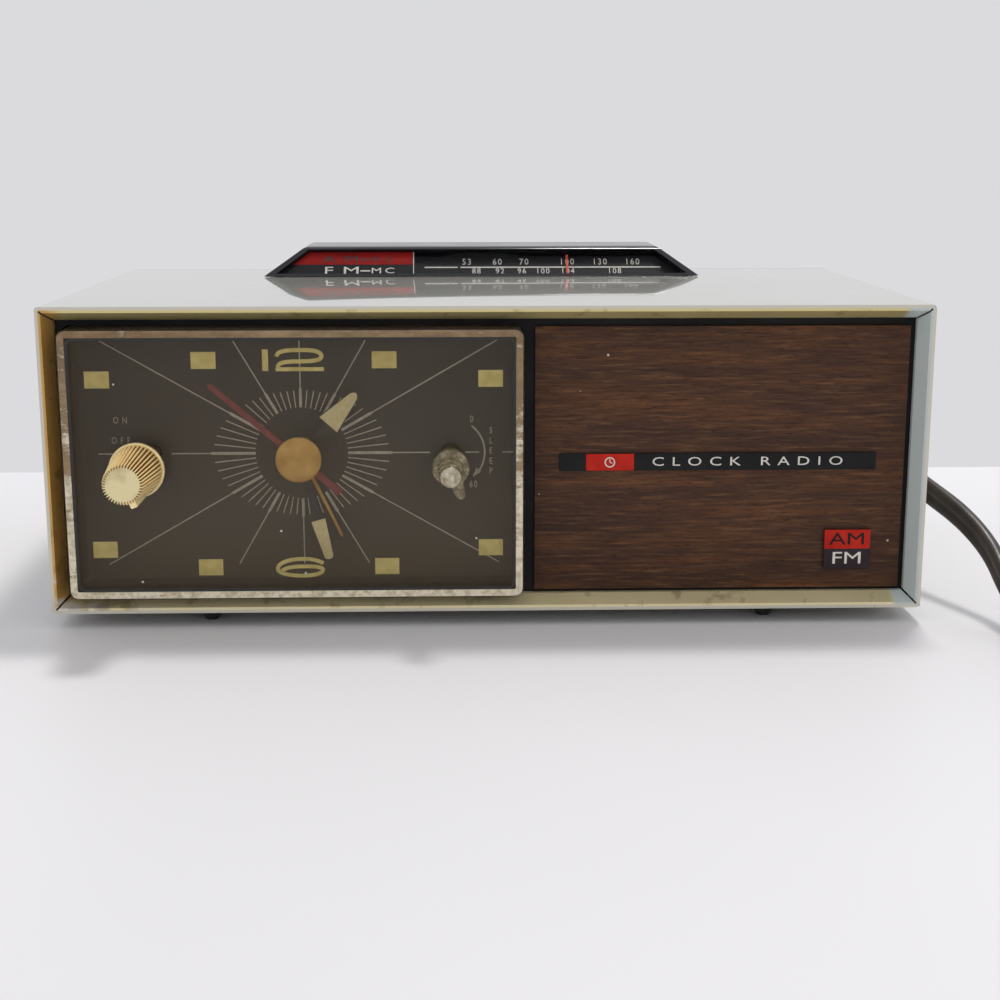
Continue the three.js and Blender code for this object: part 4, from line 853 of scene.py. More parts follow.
class CLOCKRADIO_OT_stage(bpy.types.Operator):
    """Camera, pale table, soft lights and a plain surround"""
    bl_idname = "clock_radio.stage"
    bl_label = "Stage"

    def execute(self, context):
        colours = context.scene.clock_radio_colours
        sizes = context.scene.clock_radio_sizes
        scene = context.scene
        scene.view_settings.view_transform = "Standard"
        data = bpy.data.cameras.new("camera")
        data.lens, data.sensor_width = sizes.lens, 36
        data.clip_start, data.clip_end = 0.02, 50
        camera = bpy.data.objects.new("camera", data)
        scene.collection.objects.link(camera)
        ahead = Vector((0.02832, 0.97635, -0.21432)).normalized()
        right = Vector((0.99958, -0.0290, 0)).normalized()
        upward = right.cross(ahead)
        turn = Matrix((right, upward, -ahead)).transposed().to_4x4()
        camera.matrix_world = Matrix.Translation(PLACE @ Vector((-11.5, -517.7, 151.5))) @ turn
        scene.camera = camera

        bm = bmesh.new()
        bmesh.ops.create_grid(bm, x_segments=2, y_segments=2, size=0.5)
        bmesh.ops.scale(bm, vec=(6.0, 2.19, 1), verts=bm.verts)
        bmesh.ops.translate(bm, vec=(0, -0.905, -0.0002), verts=bm.verts)
        mesh = bpy.data.meshes.new("table_top")
        bm.to_mesh(mesh)
        bm.free()
        table = bpy.data.objects.new("table_top", mesh)
        scene.collection.objects.link(table)
        # Satin paint on board: pale, nearly even, with a soft low reflection near the object.
        material, tree, shader, where = surface("satin_painted_board", {"Specular IOR Level": 0.35})
        cloud = noise(tree, where, 400.0, detail=3.0)
        pale = tuple(colours.floor_colour)
        tree.links.new(ramp(tree, cloud, [(0.3, [c * 0.985 for c in pale]), (0.7, pale)]),
                       shader.inputs["Base Color"])
        tree.links.new(mask(tree, cloud, 0.3, 0.7, 0.42, 0.5),
                       shader.inputs["Roughness"])
        mesh.materials.append(material)

        world = bpy.data.worlds.new("surround")
        scene.world = world
        world.use_nodes = True
        ground = world.node_tree.nodes["Background"]
        ground.inputs["Color"].default_value = linear(tuple(colours.wall_colour))
        ground.inputs["Strength"].default_value = 0.9

        for name, at, size, power, tint in (
                ("key_light", (0.25, 0.32, 1.5), (0.25, 0.2), sizes.key_power, (1, 0.99, 0.97)),
                ("fill_light", (1.3, -0.3, 1.0), (0.9, 0.9), sizes.key_power * 0.2,
                 (0.95, 0.97, 1))):
            lamp = bpy.data.lights.new(name, "AREA")
            lamp.shape, lamp.size, lamp.size_y = "RECTANGLE", *size
            lamp.energy, lamp.color = power, tint
            holder = bpy.data.objects.new(name, lamp)
            holder.location = at
            holder.rotation_euler = (Vector((0, 0, 0.05)) - Vector(at)).to_track_quat(
                "-Z", "Y").to_euler()
            scene.collection.objects.link(holder)
        return {"FINISHED"}


class CLOCKRADIO_OT_finishes(bpy.types.Operator):
    """All the procedural finishes"""
    bl_idname = "clock_radio.finishes"
    bl_label = "Finishes"

    def execute(self, context):
        make_materials(context.scene.clock_radio_colours)
        return {"FINISHED"}


# ---- the cord ------------------------------------------------------------------------------------

class CLOCKRADIO_OT_mains_cord(bpy.types.Operator):
    """Flat twin flex with its ribbed strain relief and its moulded two-pin plug"""
    bl_idname = "clock_radio.mains_cord"
    bl_label = "Mains Cord"

    def execute(self, context):
        bm = bmesh.new()
        low, high = PLUG_BACK + Vector((0, -9, -6.5)), PLUG_BACK + Vector((26, 9, 6.5))
        verts = cuboid(bm, low, high)
        for vert in verts:
            if vert.co.x < low.x + 1:
                vert.co.y = PLUG_BACK.y + (vert.co.y - PLUG_BACK.y) * 0.62
                vert.co.z = PLUG_BACK.z + (vert.co.z - PLUG_BACK.z) * 0.72
        soften(bm, list(bm.edges), 2.0, 3)
        for x in (6, 9, 12):
            for side in (-1, 1):
                cuboid(bm, low + Vector((x, 9 - side * 9 - 0.35 + side * 1.2, 3.2)),
                       low + Vector((x + 1.4, 9 - side * 9 + 0.35 + side * 1.2, 9.8)), 0.3)
        for y in (-6.3, 6.3):
            cuboid(bm, PLUG_BACK + Vector((25, y - 0.75, -3.2)),
                   PLUG_BACK + Vector((41, y + 0.75, 3.2)), 0.35, finish=1)
        plug = finished("moulded_plug", bm, "cabinet", ["pvc", "brass"], ["mains_plug"])

        bm = bmesh.new()
        path = cord_path()
        sweep(bm, path, flex_section())
        flex = finished("flat_twin_flex", bm, "cabinet", ["pvc"], ["power_cord", "cord_coil"],
                        crease=60)

        bm = bmesh.new()
        profile = [(0, 159.4), (4.6, 159.4), (4.6, 161.0), (7.3, 161.0), (7.5, 161.2),
                   (7.5, 162.9), (7.2, 163.2)]
        for rib in range(7):
            y = 164.2 + rib * 2.8
            r = 6.0 - 0.8 * (y - 163.2) / 21.5
            profile += [(r - 0.8, y), (r - 0.8, y + 0.7), (r, y + 0.9), (r, y + 2.4),
                        (r - 0.15, y + 2.6)]
        profile += [(4.4, 184.5), (0, 184.5)]
        lathe(bm, profile, BACKWARD, steps=40)
        for vert in bm.verts:
            share = min(1.0, max(0.0, (vert.co.y - 163.2) / 21.5))
            vert.co.x *= 1 - 0.34 * share
        bmesh.ops.translate(bm, vec=(90, 0, 36), verts=bm.verts)
        finished("ribbed_strain_relief", bm, "cabinet", ["pvc"], ["strain_relief"])
        return {"FINISHED"}


# ---- the cabinet ---------------------------------------------------------------------------------

class CLOCKRADIO_OT_cabinet(bpy.types.Operator):
    """Folded steel sleeve with its gilt front edge, and the feet"""
    bl_idname = "clock_radio.cabinet"
    bl_label = "Cabinet"

    def execute(self, context):
        sizes = context.scene.clock_radio_sizes
        bm = welded("cabinet_sleeve")
        for face in bm.faces:
            if max(v.co.y for v in face.verts) < 7.7:
                face.material_index = 1
        folds = [e for e in sharp_edges(bm)
                 if abs(e.verts[0].co.y - e.verts[1].co.y) > 30
                 and all(abs(v.co.x) > WIDTH / 2 - 0.2 for v in e.verts)
                 and all(min(v.co.z, HEIGHT - v.co.z) < 0.2 for v in e.verts)]
        soften(bm, folds, sizes.fold_radius / MM, 4)
        lip = [e for e in sharp_edges(bm, 20)
               if all(v.co.y < 0.2 for v in e.verts)
               and all(abs(v.co.x) > WIDTH / 2 - 2.2 or min(v.co.z, HEIGHT - v.co.z) < 2.2
                       for v in e.verts)]
        soften(bm, lip, 0.3)
        finished("folded_steel_sleeve", bm, "cabinet", ["enamel", "lip"], ["cabinet_sleeve"],
                 crease=12)

        for side in ("left", "right"):
            for end in ("front", "rear"):
                node = f"foot_{end}_{side}"
                low, high, middle = node_box(node)
                bm = bmesh.new()
                lathe(bm, [(0, low.z), (1.9, low.z), (2.4, low.z + 0.4), (4.2, high.z - 0.8),
                           (4.5, high.z - 0.5), (4.5, high.z), (0, high.z)],
                      Matrix.Translation((middle.x, middle.y, 0)), steps=32)
                lathe(bm, [(0, low.z + 0.5), (1.1, low.z + 0.5), (1.1, low.z + 0.08),
                           (0, low.z + 0.1)], Matrix.Translation((middle.x, middle.y, 0)),
                      steps=16)
                finished(f"rubber_{node}", bm, "cabinet", ["rubber"], [node])
        return {"FINISHED"}


class CLOCKRADIO_OT_wood_face(bpy.types.Operator):
    """Walnut-print panel with the black name bar and the wave-band badge"""
    bl_idname = "clock_radio.wood_face"
    bl_label = "Wood Face"

    def execute(self, context):
        bm = bmesh.new()
        cuboid(bm, (15.2, 6.3, 5.6), (138.7, 7.5, 94.3), 0.25)
        finished("walnut_print_panel", bm, "cabinet", ["walnut"], ["woodgrain_panel"])

        bm = bmesh.new()
        cuboid(bm, (23.3, 5.2, 46.4), (128.9, 6.0, 52.2), 0.15)
        cuboid(bm, (32.2, 5.12, 46.5), (48.1, 5.4, 52.1), 0.05, finish=1)
        ring = Matrix.Translation((40.1, 5.12, 49.3)) @ ALONG_Y
        lathe(bm, [(1.35, -0.1), (1.35, 0.1), (1.75, 0.1), (1.75, -0.1), (1.35, -0.1)], ring,
              steps=40, finish=2)
        bar(bm, (40.1, 49.3), (40.1, 50.4), 0.32, 5.02, 5.2, finish=2)
        bar(bm, (40.1, 49.3), (40.95, 49.0), 0.32, 5.02, 5.2, finish=2)
        lettering(bm, "CLOCK RADIO", 2.9, facing_front(86.0, 5.16, 49.3), stretch=1.45,
                  spacing=1.75, finish=2)
        finished("name_bar", bm, "cabinet", ["bar_black", "bar_red", "white_print"], ["name_strip"])

        bm = bmesh.new()
        cuboid(bm, (112.8, 5.2, 12.3), (128.4, 6.0, 25.8), 0.15, finish=3)
        cuboid(bm, (112.85, 5.12, 19.2), (128.35, 5.4, 25.75), 0.05, finish=1)
        lettering(bm, "AM", 4.1, facing_front(120.6, 5.08, 22.4), stretch=1.45, finish=0)
        lettering(bm, "FM", 4.1, facing_front(120.6, 5.17, 15.8), stretch=1.45, finish=2)
        finished("wave_band_badge", bm, "cabinet", ["bar_black", "bar_red", "white_print", "plum"],
                 ["band_badge"])
        return {"FINISHED"}


# ---- the clock -----------------------------------------------------------------------------------

class CLOCKRADIO_OT_crystal(bpy.types.Operator):
    """Clear box over the dial, its stamped silver rim and the luminous figures behind it"""
    bl_idname = "clock_radio.crystal"
    bl_label = "Crystal"

    def execute(self, context):
        sizes = context.scene.clock_radio_sizes
        left, right, low, high = -138.6, 11.5, 5.1, 94.6
        bm = welded("clock_crystal")
        outer = [e for e in sharp_edges(bm, 40)
                 if all(v.co.y < -1.4 for v in e.verts)
                 and all(min(v.co.x - left, right - v.co.x, v.co.z - low, high - v.co.z) < 3.2
                         for v in e.verts)]
        soften(bm, outer, 0.6, 3)
        bm.normal_update()
        for face in bm.faces:
            if abs(face.normal.y) < 0.5 and face.calc_area() > 100:
                face.material_index = 1
        finished("crystal_moulding", bm, "cabinet", ["crystal", "crystal_wall"], ["clock_crystal"])

        rim = sizes.rim_width / MM
        bm = bmesh.new()
        for inset, width, y_front, y_back, finish in (
                (0.5, rim - 0.5, -1.62, -1.45, 0), (rim, 1.0, -1.56, -1.46, 1)):
            made = bmesh.ops.create_grid(bm, x_segments=1, y_segments=1, size=0.5)
            verts = made["verts"]
            half = Vector(((right - left) / 2 - inset, (high - low) / 2 - inset, 1))
            bmesh.ops.scale(bm, vec=half * 2, verts=verts)
            made = bmesh.ops.bevel(bm, geom=verts, offset=2.6, segments=4, profile=0.5,
                                   affect="VERTICES", material=-1)
            face = next(f for f in bm.faces if len(f.verts) > 8 and f.material_index == 0
                        and not f.tag)
            middle = Vector(((left + right) / 2, 0, (low + high) / 2))
            turn = Matrix.Translation(middle) @ ALONG_Y
            bmesh.ops.transform(bm, matrix=turn, verts=face.verts)
            bmesh.ops.translate(bm, vec=(0, y_front, 0), verts=face.verts)
            frame_faces = bmesh.ops.inset_individual(bm, faces=[face], thickness=width,
                                                     use_even_offset=True)["faces"]
            bmesh.ops.delete(bm, geom=[face], context="FACES_ONLY")
            thickened(bm, frame_faces, (0, y_back - y_front, 0), finish)
            for new in bm.faces:
                new.tag = True
        finished("stamped_rim", bm, "cabinet", ["border", "hand_black"])

        bm = bmesh.new()
        centre = (-63.0, 49.9)
        wide, tall = 8.0, 5.5
        for x, z in [(sx * out, sz * rise) for out, rise in ((29.1, 34.4), (63.5, 28.2))
                     for sx in (-1, 1) for sz in (-1, 1)]:
            at = (centre[0] + x, centre[1] + z)
            cuboid(bm, (at[0] - wide / 2, FIGURE_FRONT, at[1] - tall / 2),
                   (at[0] + wide / 2, FIGURE_BACK, at[1] + tall / 2), 0.08)
        one = (-72.2, 84.3)
        cuboid(bm, (one[0] - 0.97, FIGURE_FRONT, one[1] - 3.5),
               (one[0] + 0.97, FIGURE_BACK, one[1] + 3.5), 0.06)
        two = [(-5.4, 1.1), (-4.7, 2.2), (-2.9, 2.85), (-0.6, 3.1), (2.6, 3.15), (5.7, 3.05),
               (7.8, 2.6), (8.95, 1.8), (9.1, 0.85), (8.2, 0.05), (6.2, -0.35), (2.6, -0.5),
               (-1.0, -0.6), (-3.5, -0.95), (-4.65, -1.6), (-5.0, -2.4)]
        curve = smooth_route([(x - 63.2, z + 84.4, 0) for x, z in two], 4)
        stroke(bm, [(p.x, p.y) for p in curve], 1.3, FIGURE_FRONT, FIGURE_BACK)
        cuboid(bm, (-68.9, FIGURE_FRONT, 80.7), (-53.3, FIGURE_BACK, 82.0), 0.06)
        six = [(7.6, 1.35), (6.5, 1.9), (4.2, 2.6), (0.6, 2.85), (-3.0, 2.5), (-5.8, 1.6),
               (-7.2, 0.45), (-7.5, -0.7), (-6.7, -1.6), (-4.4, -2.4), (-1.2, -2.85),
               (2.4, -2.85), (5.6, -2.3), (7.15, -1.5), (7.4, -0.7), (6.25, -0.1), (3.7, 0.25),
               (0.6, 0.3), (-2.6, 0.1), (-4.9, -0.45), (-6.3, -1.15)]
        curve = smooth_route([(x - 62.6, z + 15.3, 0) for x, z in six], 4)
        stroke(bm, [(p.x, p.y) for p in curve], 1.25, FIGURE_FRONT, FIGURE_BACK)
        finished("luminous_figures", bm, "cabinet", ["figures"])
        return {"FINISHED"}


class CLOCKRADIO_OT_dial(bpy.types.Operator):
    """Printed minute track, rays and settings on the sprayed dial"""
    bl_idname = "clock_radio.dial"
    bl_label = "Dial"

    def execute(self, context):
        bm = bmesh.new()
        inner, wide, tall = 15.6, 30.6, 22.0
        box_x, box_z = 69.0, 38.5
        middle = Vector((CLOCK.x, CLOCK.z))
        for minute in range(60):
            angle = math.radians(minute * 6)
            out = Vector((math.sin(angle), math.cos(angle)))
            reach = 1 / math.hypot(out.x / wide, out.y / tall)
            major = minute % 5 == 0
            start = middle + out * inner
            end = middle + out * (reach if major else reach * 0.97)
            bar(bm, start, end, 0.95 if major else 0.36, PRINT_FRONT, PRINT_BACK)
            if major and minute % 15:
                far = min(box_x / abs(out.x), box_z / abs(out.y))
                bar(bm, end, middle + out * far, RAY_WIDTH, PRINT_FRONT, PRINT_BACK)
        level, upright = Vector((1, 0)), Vector((0, 1))
        for way, start, end in (
                (level, -68.5, -63.3), (level, -43.8, -30.0), (level, 30.0, 43.4),
                (level, 55.2, 60.0), (level, 67.8, 71.6), (upright, 21.0, 38.5),
                (upright, -38.5, -21.0)):
            bar(bm, middle + way * start, middle + way * end, RAY_WIDTH, PRINT_FRONT, PRINT_BACK)
        for words, x, z in (("ON", -60.6, 11.4), ("OFF", -60.7, 4.5)):
            lettering(bm, words, 2.2, facing_front(CLOCK.x + x, PRINT_MIDDLE, CLOCK.z + z),
                      stretch=0.72, spacing=2.0)
        for words, x, z in (("0", SLEEP.x + 7.1, SLEEP.z + 11.3),
                            ("60", SLEEP.x + 7.6, SLEEP.z - 11.2)):
            lettering(bm, words, 2.3, facing_front(x, PRINT_MIDDLE, z), stretch=0.72, spacing=1.3)
        for i, letter in enumerate("SLEEP"):
            lettering(bm, letter, 2.15, facing_front(1.0, PRINT_MIDDLE, 57.6 - 3.5 * i),
                      stretch=0.8)
        arc = [(SLEEP.x + 11.5 * math.cos(math.radians(a)), SLEEP.z + 11.5 * math.sin(
            math.radians(a))) for a in range(52, -37, -4)]
        stroke(bm, arc, 0.62, PRINT_FRONT, PRINT_BACK)
        tip = math.radians(-49)
        ahead = Vector((math.sin(math.radians(-40)), -math.cos(math.radians(-40))))
        side = Vector((-ahead.y, ahead.x))
        point = Vector((SLEEP.x, SLEEP.z)) + 11.3 * Vector((math.cos(tip), math.sin(tip)))
        base = point - ahead * 3.2
        slab(bm, [point, base + side * 1.1, base - side * 1.1], PRINT_FRONT, PRINT_BACK)
        finished("dial_printing", bm, "cabinet", ["ink"])
        return {"FINISHED"}


class CLOCKRADIO_OT_hands(bpy.types.Operator):
    """Hour, minute, alarm and second hands and the brass cap over their hubs"""
    bl_idname = "clock_radio.hands"
    bl_label = "Hands"

    def execute(self, context):
        for name, arm, lume, hub_radius, bore, y, degrees, body, node in (
                ("hour_pointer",
                 [(-1.2, 3), (1.2, 3), (1.6, 14.2), (4.3, 14.0), (1.7, 27.4), (0.9, 28.5),
                  (0, 28.9), (-0.9, 28.5), (-1.7, 27.4), (-4.3, 14.0), (-1.6, 14.2)],
                 [(-3.9, 14.3), (3.9, 14.3), (1.45, 27.3), (0.75, 28.2), (0, 28.6),
                  (-0.75, 28.2), (-1.45, 27.3)], 5, 3.15, 14, 42, "hour_work", "hour_hand"),
                ("minute_pointer",
                 [(-1, 2), (1, 2), (1.2, 21.9), (2.7, 21.9), (1.7, 35.2), (1.2, 36.0), (0, 36.3),
                  (-1.2, 36.0), (-1.7, 35.2), (-2.7, 21.9), (-1.2, 21.9)],
                 [(-2.45, 22.1), (2.45, 22.1), (1.5, 35.1), (1.0, 35.8), (0, 36.1),
                  (-1.0, 35.8), (-1.5, 35.1)], 4, 2.05, 11, 165, "minute_work", "minute_hand")):
            bm = bmesh.new()
            hand_shape(bm, arm, y + 0.1, 0.4, degrees, 0)
            hand_shape(bm, lume, y, 0.25, degrees, 1, bevel=0.08)
            hub(bm, bore, hub_radius, y + 0.05, y + 0.5)
            finished(name, bm, body, ["hand_black", "lume"], [node])

        bm = bmesh.new()
        hand_shape(bm, [(-0.6, 4), (0.6, 4), (0.5, 31), (0, 31.6), (-0.5, 31)], 17, 0.5, 155, 0,
                   bevel=0.08)
        hub(bm, 4.25, 6, 17, 17.5)
        finished("alarm_pointer", bm, "alarm_work", ["cap"], ["alarm_hand"])

        bm = bmesh.new()
        hand_shape(bm, [(-1.2, -17.9), (1.2, -17.9), (1.05, 0), (0.9, 37.8), (0, 38.5),
                        (-0.9, 37.8), (-1.05, 0)], 9, 0.5, 310.5, 0, bevel=0.1)
        hub(bm, 0.95, 2.6, 9, 9.5)
        finished("sweep_pointer", bm, "second_work", ["hand_red"], ["second_hand"])

        bm = bmesh.new()
        lathe(bm, [(0, 6.9), (3.0, 6.92), (5.4, 7.02), (6.7, 7.2), (7.25, 7.35), (7.3, 7.2),
                   (7.5, 7.2), (7.65, 7.4), (7.65, 8.2), (7.5, 8.3), (0, 8.3)],
              CLOCK_AXIS @ BACKWARD, steps=96)
        finished("hub_cap", bm, "second_work", ["cap"], ["centre_cap"])
        return {"FINISHED"}


class CLOCKRADIO_OT_front_knobs(bpy.types.Operator):
    """Serrated gold mode knob, and the clear sleep lever with its bright cap"""
    bl_idname = "clock_radio.front_knobs"
    bl_label = "Front Knobs"

    def execute(self, context):
        sizes = context.scene.clock_radio_sizes
        bm = bmesh.new()
        knurled(bm, 6.35, 8.6, -32.0, -9.4, sizes.serrations, 0.95)
        lathe(bm, [(0, -9.6), (8.6, -9.6), (8.9, -9.3), (8.9, -7.8), (8.7, -7.5), (2.8, -7.5),
                   (2.8, 33), (0, 33)], BACKWARD)
        fin = cuboid(bm, (4.0, -30.2, -1.15), (8.25, -9.2, 1.15), 0.45, 3)
        turned(bm, fin, 68)
        bump = cuboid(bm, (7.6, -9.5, -1.6), (8.9, -7.6, 1.6), 0.5, 3)
        turned(bm, bump, -82)
        bmesh.ops.translate(bm, vec=MODE, verts=bm.verts)
        finished("serrated_gold_knob", bm, "mode_knob", ["gold"], ["mode_knob"])

        bm = bmesh.new()
        lathe(bm, [(0, -21.6), (2.75, -21.6), (2.75, -23), (3.1, -23), (3.3, -22.7),
                   (3.6, -21.8), (3.9, -10.6), (4.3, -9.6), (5.6, -9.4), (6.0, -8.9), (6.0, -5.4),
                   (5.7, -5), (2.8, -5), (2.8, 33), (0, 33)], BACKWARD)
        known = set(bm.verts)
        slab(bm, [(2, -2.3), (8.2, -1.9), (10.3, -1.1), (10.9, 0), (10.3, 1.1), (8.2, 1.9),
                  (2, 2.3)], -9.0, -5.0, bevel=0.35)
        turned(bm, [v for v in bm.verts if v not in known], 70)
        bmesh.ops.translate(bm, vec=SLEEP, verts=bm.verts)
        finished("clear_sleep_lever", bm, "sleep_lever", ["lever"], ["sleep_lever"])

        bm = bmesh.new()
        bmesh.ops.create_cone(bm, cap_ends=True, segments=9, radius1=2.95, radius2=0.3, depth=0.7,
                              matrix=Matrix.Translation((0, -23.75, 0)) @ ALONG_Y)
        lathe(bm, [(0, -23.45), (2.9, -23.45), (3.0, -23.75), (3.2, -23.6), (3.2, -23.3),
                   (0, -23.3)], BACKWARD)
        bmesh.ops.translate(bm, vec=SLEEP, verts=bm.verts)
        finished("lever_cap", bm, "sleep_lever", ["button"], ["sleep_cap"], crease=12)
        return {"FINISHED"}


# ---- the tuning hood -----------------------------------------------------------------------------

def facet_plate(bm, outline, z_front, z_back, finish=0):
    """A thin plate on the hood's sloping front, from an outline along and up the slope."""
    verts = [bm.verts.new(FACET @ Vector((x, y, z_front))) for x, y in outline]
    thickened(bm, [bm.faces.new(verts)], FACET_OUT * (z_back - z_front), finish)


class CLOCKRADIO_OT_tuning_hood(bpy.types.Operator):
    """Black hood on the cabinet with its window, band labels and printed scale"""
    bl_idname = "clock_radio.tuning_hood"
    bl_label = "Tuning Hood"

    def execute(self, context):
        sizes = context.scene.clock_radio_sizes
        bm = welded("tuning_hood", clear_flats=False)
        ends = [e for e in sharp_edges(bm, 20)
                if all(v.co.z > 112.7 and abs(v.co.x) > 69 for v in e.verts)]
        soften(bm, ends, 2.0, 4)
        outer = [e for e in sharp_edges(bm, 20)
                 if all(v.co.z > 112.0 for v in e.verts)
                 or all(v.co.z > 101.95 for v in e.verts) and all(v.co.y > 159 for v in e.verts)]
        soften(bm, outer, sizes.moulding_edge / MM)
        finished("moulded_tuning_hood", bm, "cabinet", ["gloss_black"], ["tuning_hood"],
                 crease=12)

        bm = welded("tuning_window")
        finished("hood_window", bm, "cabinet", ["window"], ["tuning_window"])

        bm = bmesh.new()
        facet_plate(bm, [(-81.5, 3.4), (81.5, 3.4), (69, 12.4), (-69, 12.4)], -3.0, -3.6)
        raised, sunk = -2.93, -3.05
        line = 6.9
        for x0, x1 in ((-22.7, -9.7), (-8.5, 71.0)):
            facet_plate(bm, [(x0, line - 0.27), (x1, line - 0.27), (x1, line + 0.27),
                             (x0, line + 0.27)], raised, sunk, finish=1)
        turn = FACET @ Matrix.Translation((0, 0, -2.98))
        for tall, y, figures in (
                (2.9, 9.5, (("53", -6.0), ("60", 6.1), ("70", 16.7), ("100", 33.8),
                            ("130", 46.9), ("160", 59.9))),
                (2.7, 4.9, (("88", -2.2), ("92", 7.1), ("96", 15.8), ("100", 24.1),
                            ("104", 34.0), ("108", 52.6)))):
            for words, x in figures:
                lettering(bm, words, tall, turn @ Matrix.Translation((x, y, 0)), stretch=0.8,
                          spacing=1.25, depth=0.1, finish=1)
        finished("printed_scale", bm, "cabinet", ["bar_black", "white_print"], ["tuning_scale"])

        bm = bmesh.new()
        facet_plate(bm, [(-81.0, 2.0), (-27.2, 2.0), (-27.2, 13.6), (-69.0, 13.6)], -1.75, -1.95)
        facet_plate(bm, [(-74.5, 7.4), (-27.4, 7.4), (-27.4, 13.5), (-68.3, 13.5)], -1.70, -1.80,
                    finish=1)
        facet_plate(bm, [(-27.2, 2.0), (-26.9, 2.0), (-26.9, 13.6), (-27.2, 13.6)], -1.70, -1.95,
                    finish=3)
        for words, finish, y, tall, rise in (
                ("AM", 2, 9.9, 3.2, -1.68), ("FM", 3, 4.3, 3.6, -1.73)):
            turn = FACET @ Matrix.Translation((0, 0, rise))
            for letter, x, stretch in ((words[0], -60.5, 1.65), (words[1], -51.6, 1.75)):
                lettering(bm, letter, tall, turn @ Matrix.Translation((x, y, 0)),
                          stretch=stretch, depth=0.08, finish=finish)
            facet_plate(bm, [(-48.0, y - 0.3), (-44.1, y - 0.3), (-44.1, y + 0.3),
                             (-48.0, y + 0.3)], rise + 0.04, rise - 0.04, finish=finish)
            small = "KC" if words == "AM" else "MC"
            for letter, x in zip(small, (-41.7, -36.4)):
                lettering(bm, letter, tall * 0.74, turn @ Matrix.Translation((x, y, 0)),
                          stretch=1.5, depth=0.08, finish=finish)
        finished("band_labels", bm, "cabinet",
                 ["bar_black", "scale_red", "matt_black", "white_print"])
        return {"FINISHED"}


# ---- knobs at the side and back ------------------------------------------------------------------

class CLOCKRADIO_OT_side_controls(bpy.types.Operator):
    """Tuning and volume knobs, the band switch's slider, and the two setting knobs behind"""
    bl_idname = "clock_radio.side_controls"
    bl_label = "Side Controls"

    def execute(self, context):
        for name, body, node, centre, radius in (
                ("knurled_tuning_knob", "tuning_knob", "tuning_knob", TUNING, 12.0),
                ("knurled_volume_knob", "volume_knob", "volume_knob", VOLUME, 10.0)):
            bm = welded(node)
            soften(bm, [e for e in sharp_edges(bm, 60)
                        if all(v.co.x > 154.5 for v in e.verts)], 0.3)
            for face in bm.faces:
                if max(v.co.x for v in face.verts) < 145.0:
                    face.material_index = 1
            inner, outer = radius * 0.6, radius * 0.66
            lathe(bm, [(inner, 155.2), (inner, 155.29), (outer, 155.29), (outer, 155.2),
                       (inner, 155.2)],
                  Matrix.Translation((0, centre.y, centre.z)) @ ALONG_X, finish=1)
            finished(name, bm, body, ["matt_black", "zinc"], [node])
        for name, body, node, axis, least, width in (
                ("ribbed_band_slider", "band_slider", "band_slider", 0, 147, 0.4),
                ("time_setting_knob", "time_set", "time_set_knob", 1, 169, 0.3),
                ("alarm_setting_knob", "alarm_set", "alarm_set_knob", 1, 169, 0.3)):
            bm = welded(node)
            soften(bm, [e for e in sharp_edges(bm, 60)
                        if all(v.co[axis] > least for v in e.verts)], width)
            finished(name, bm, body, ["matt_black"], [node])

        for side in ("left", "right"):
            node = f"cover_screw_{side}"
            low, high, middle = node_box(node)
            bm = bmesh.new()
            lathe(bm, [(0, low.y), (1.3, low.y), (1.5, low.y + 0.3), (1.5, high.y - 2.3),
                       (3.3, high.y - 2.3), (3.4, high.y - 2.0), (3.2, high.y - 0.9),
                       (2.2, high.y - 0.2), (0, high.y)],
                  Matrix.Translation((middle.x, 0, middle.z)) @ BACKWARD, steps=32)
            slot_tool = bmesh.new()
            cuboid(slot_tool, (middle.x - 4, high.y - 0.9, middle.z - 0.4),
                   (middle.x + 4, high.y + 1, middle.z + 0.4))
            bmesh.ops.recalc_face_normals(bm, faces=bm.faces)
            bm = cut_out(bm, slot_tool)
            finished(f"slotted_{node}", bm, "cabinet", ["zinc"], [node])
        return {"FINISHED"}


# ---- what is carried over from the frame ---------------------------------------------------------

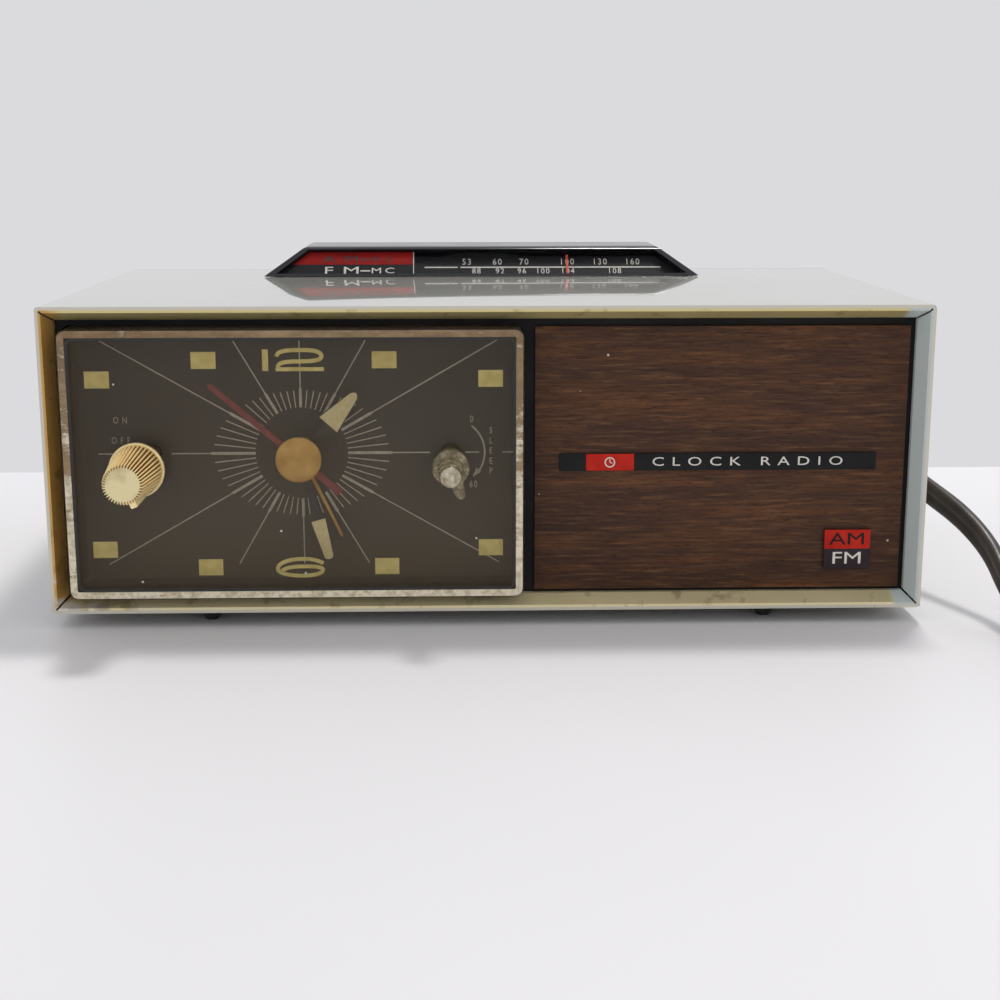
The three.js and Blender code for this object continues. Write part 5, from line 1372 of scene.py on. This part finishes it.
class CLOCKRADIO_OT_carried_over(bpy.types.Operator):
    """Finishes for the frame's own pieces that keep their shape"""
    bl_idname = "clock_radio.carried_over"
    bl_label = "Carried Over"

    def execute(self, context):
        pieces = {
            "front_black": "front_baffle",
            "hardboard": "back_cover",
            "brass": "movement_front_plate movement_rear_plate motor_pinion second_arbor "
                     "minute_arbor hour_wheel alarm_wheel motion_wheel alarm_pinion",
            "steel": "clock_motor sleep_timer pointer_rail chassis tuning_rotor "
                     "tuning_capacitor speaker_basket power_transformer",
            "zinc": "volume_control band_switch filter_capacitor",
            "board": "mode_switch circuit_board",
            "pointer": "dial_pointer",
            "glass": "dial_lamp",
            "ferrite": "ferrite_antenna",
            "cone": "speaker_cone",
            "dial": "clock_dial",
        }
        chosen = {name: finish for finish, names in pieces.items() for name in names.split()}
        shown = [name for name, node in NODES.items() if not node.hide_render]
        missing = sorted(set(shown) - set(chosen))
        if missing:
            raise RuntimeError(f"these pieces have no finish: {missing}")
        for name, finish in chosen.items():
            mesh = NODES[name].data
            mesh.materials.clear()
            mesh.materials.append(FINISH[finish])
        return {"FINISHED"}


class CLOCKRADIO_PT_panel(bpy.types.Panel):
    """Sizes, colours and building steps of the clock radio"""
    bl_idname = "CLOCKRADIO_PT_panel"
    bl_label = "Clock Radio"
    bl_space_type = "VIEW_3D"
    bl_region_type = "UI"
    bl_category = "Clock Radio"

    def draw(self, context):
        layout = self.layout
        for group in (context.scene.clock_radio_sizes, context.scene.clock_radio_colours):
            box = layout.box()
            for name in group.__annotations__:
                box.prop(group, name)
        for operator in OPERATORS:
            layout.operator(operator.bl_idname)


OPERATORS = (
    CLOCKRADIO_OT_stage,
    CLOCKRADIO_OT_finishes,
    CLOCKRADIO_OT_mains_cord,
    CLOCKRADIO_OT_cabinet,
    CLOCKRADIO_OT_wood_face,
    CLOCKRADIO_OT_crystal,
    CLOCKRADIO_OT_dial,
    CLOCKRADIO_OT_hands,
    CLOCKRADIO_OT_front_knobs,
    CLOCKRADIO_OT_tuning_hood,
    CLOCKRADIO_OT_side_controls,
    CLOCKRADIO_OT_carried_over,
)
CLASSES = (ClockRadioColours, ClockRadioSizes, *OPERATORS, CLOCKRADIO_PT_panel)


def register():
    for cls in CLASSES:
        bpy.utils.register_class(cls)
    bpy.types.Scene.clock_radio_colours = bpy.props.PointerProperty(type=ClockRadioColours)
    bpy.types.Scene.clock_radio_sizes = bpy.props.PointerProperty(type=ClockRadioSizes)


def unregister():
    del bpy.types.Scene.clock_radio_sizes
    del bpy.types.Scene.clock_radio_colours
    for cls in reversed(CLASSES):
        bpy.utils.unregister_class(cls)


def main():
    register()
    steps = bpy.ops.clock_radio
    steps.stage()
    steps.finishes()
    steps.mains_cord()
    steps.cabinet()
    steps.wood_face()
    steps.crystal()
    steps.dial()
    steps.hands()
    steps.front_knobs()
    steps.tuning_hood()
    steps.side_controls()
    steps.carried_over()


if __name__ == "__main__":
    main()
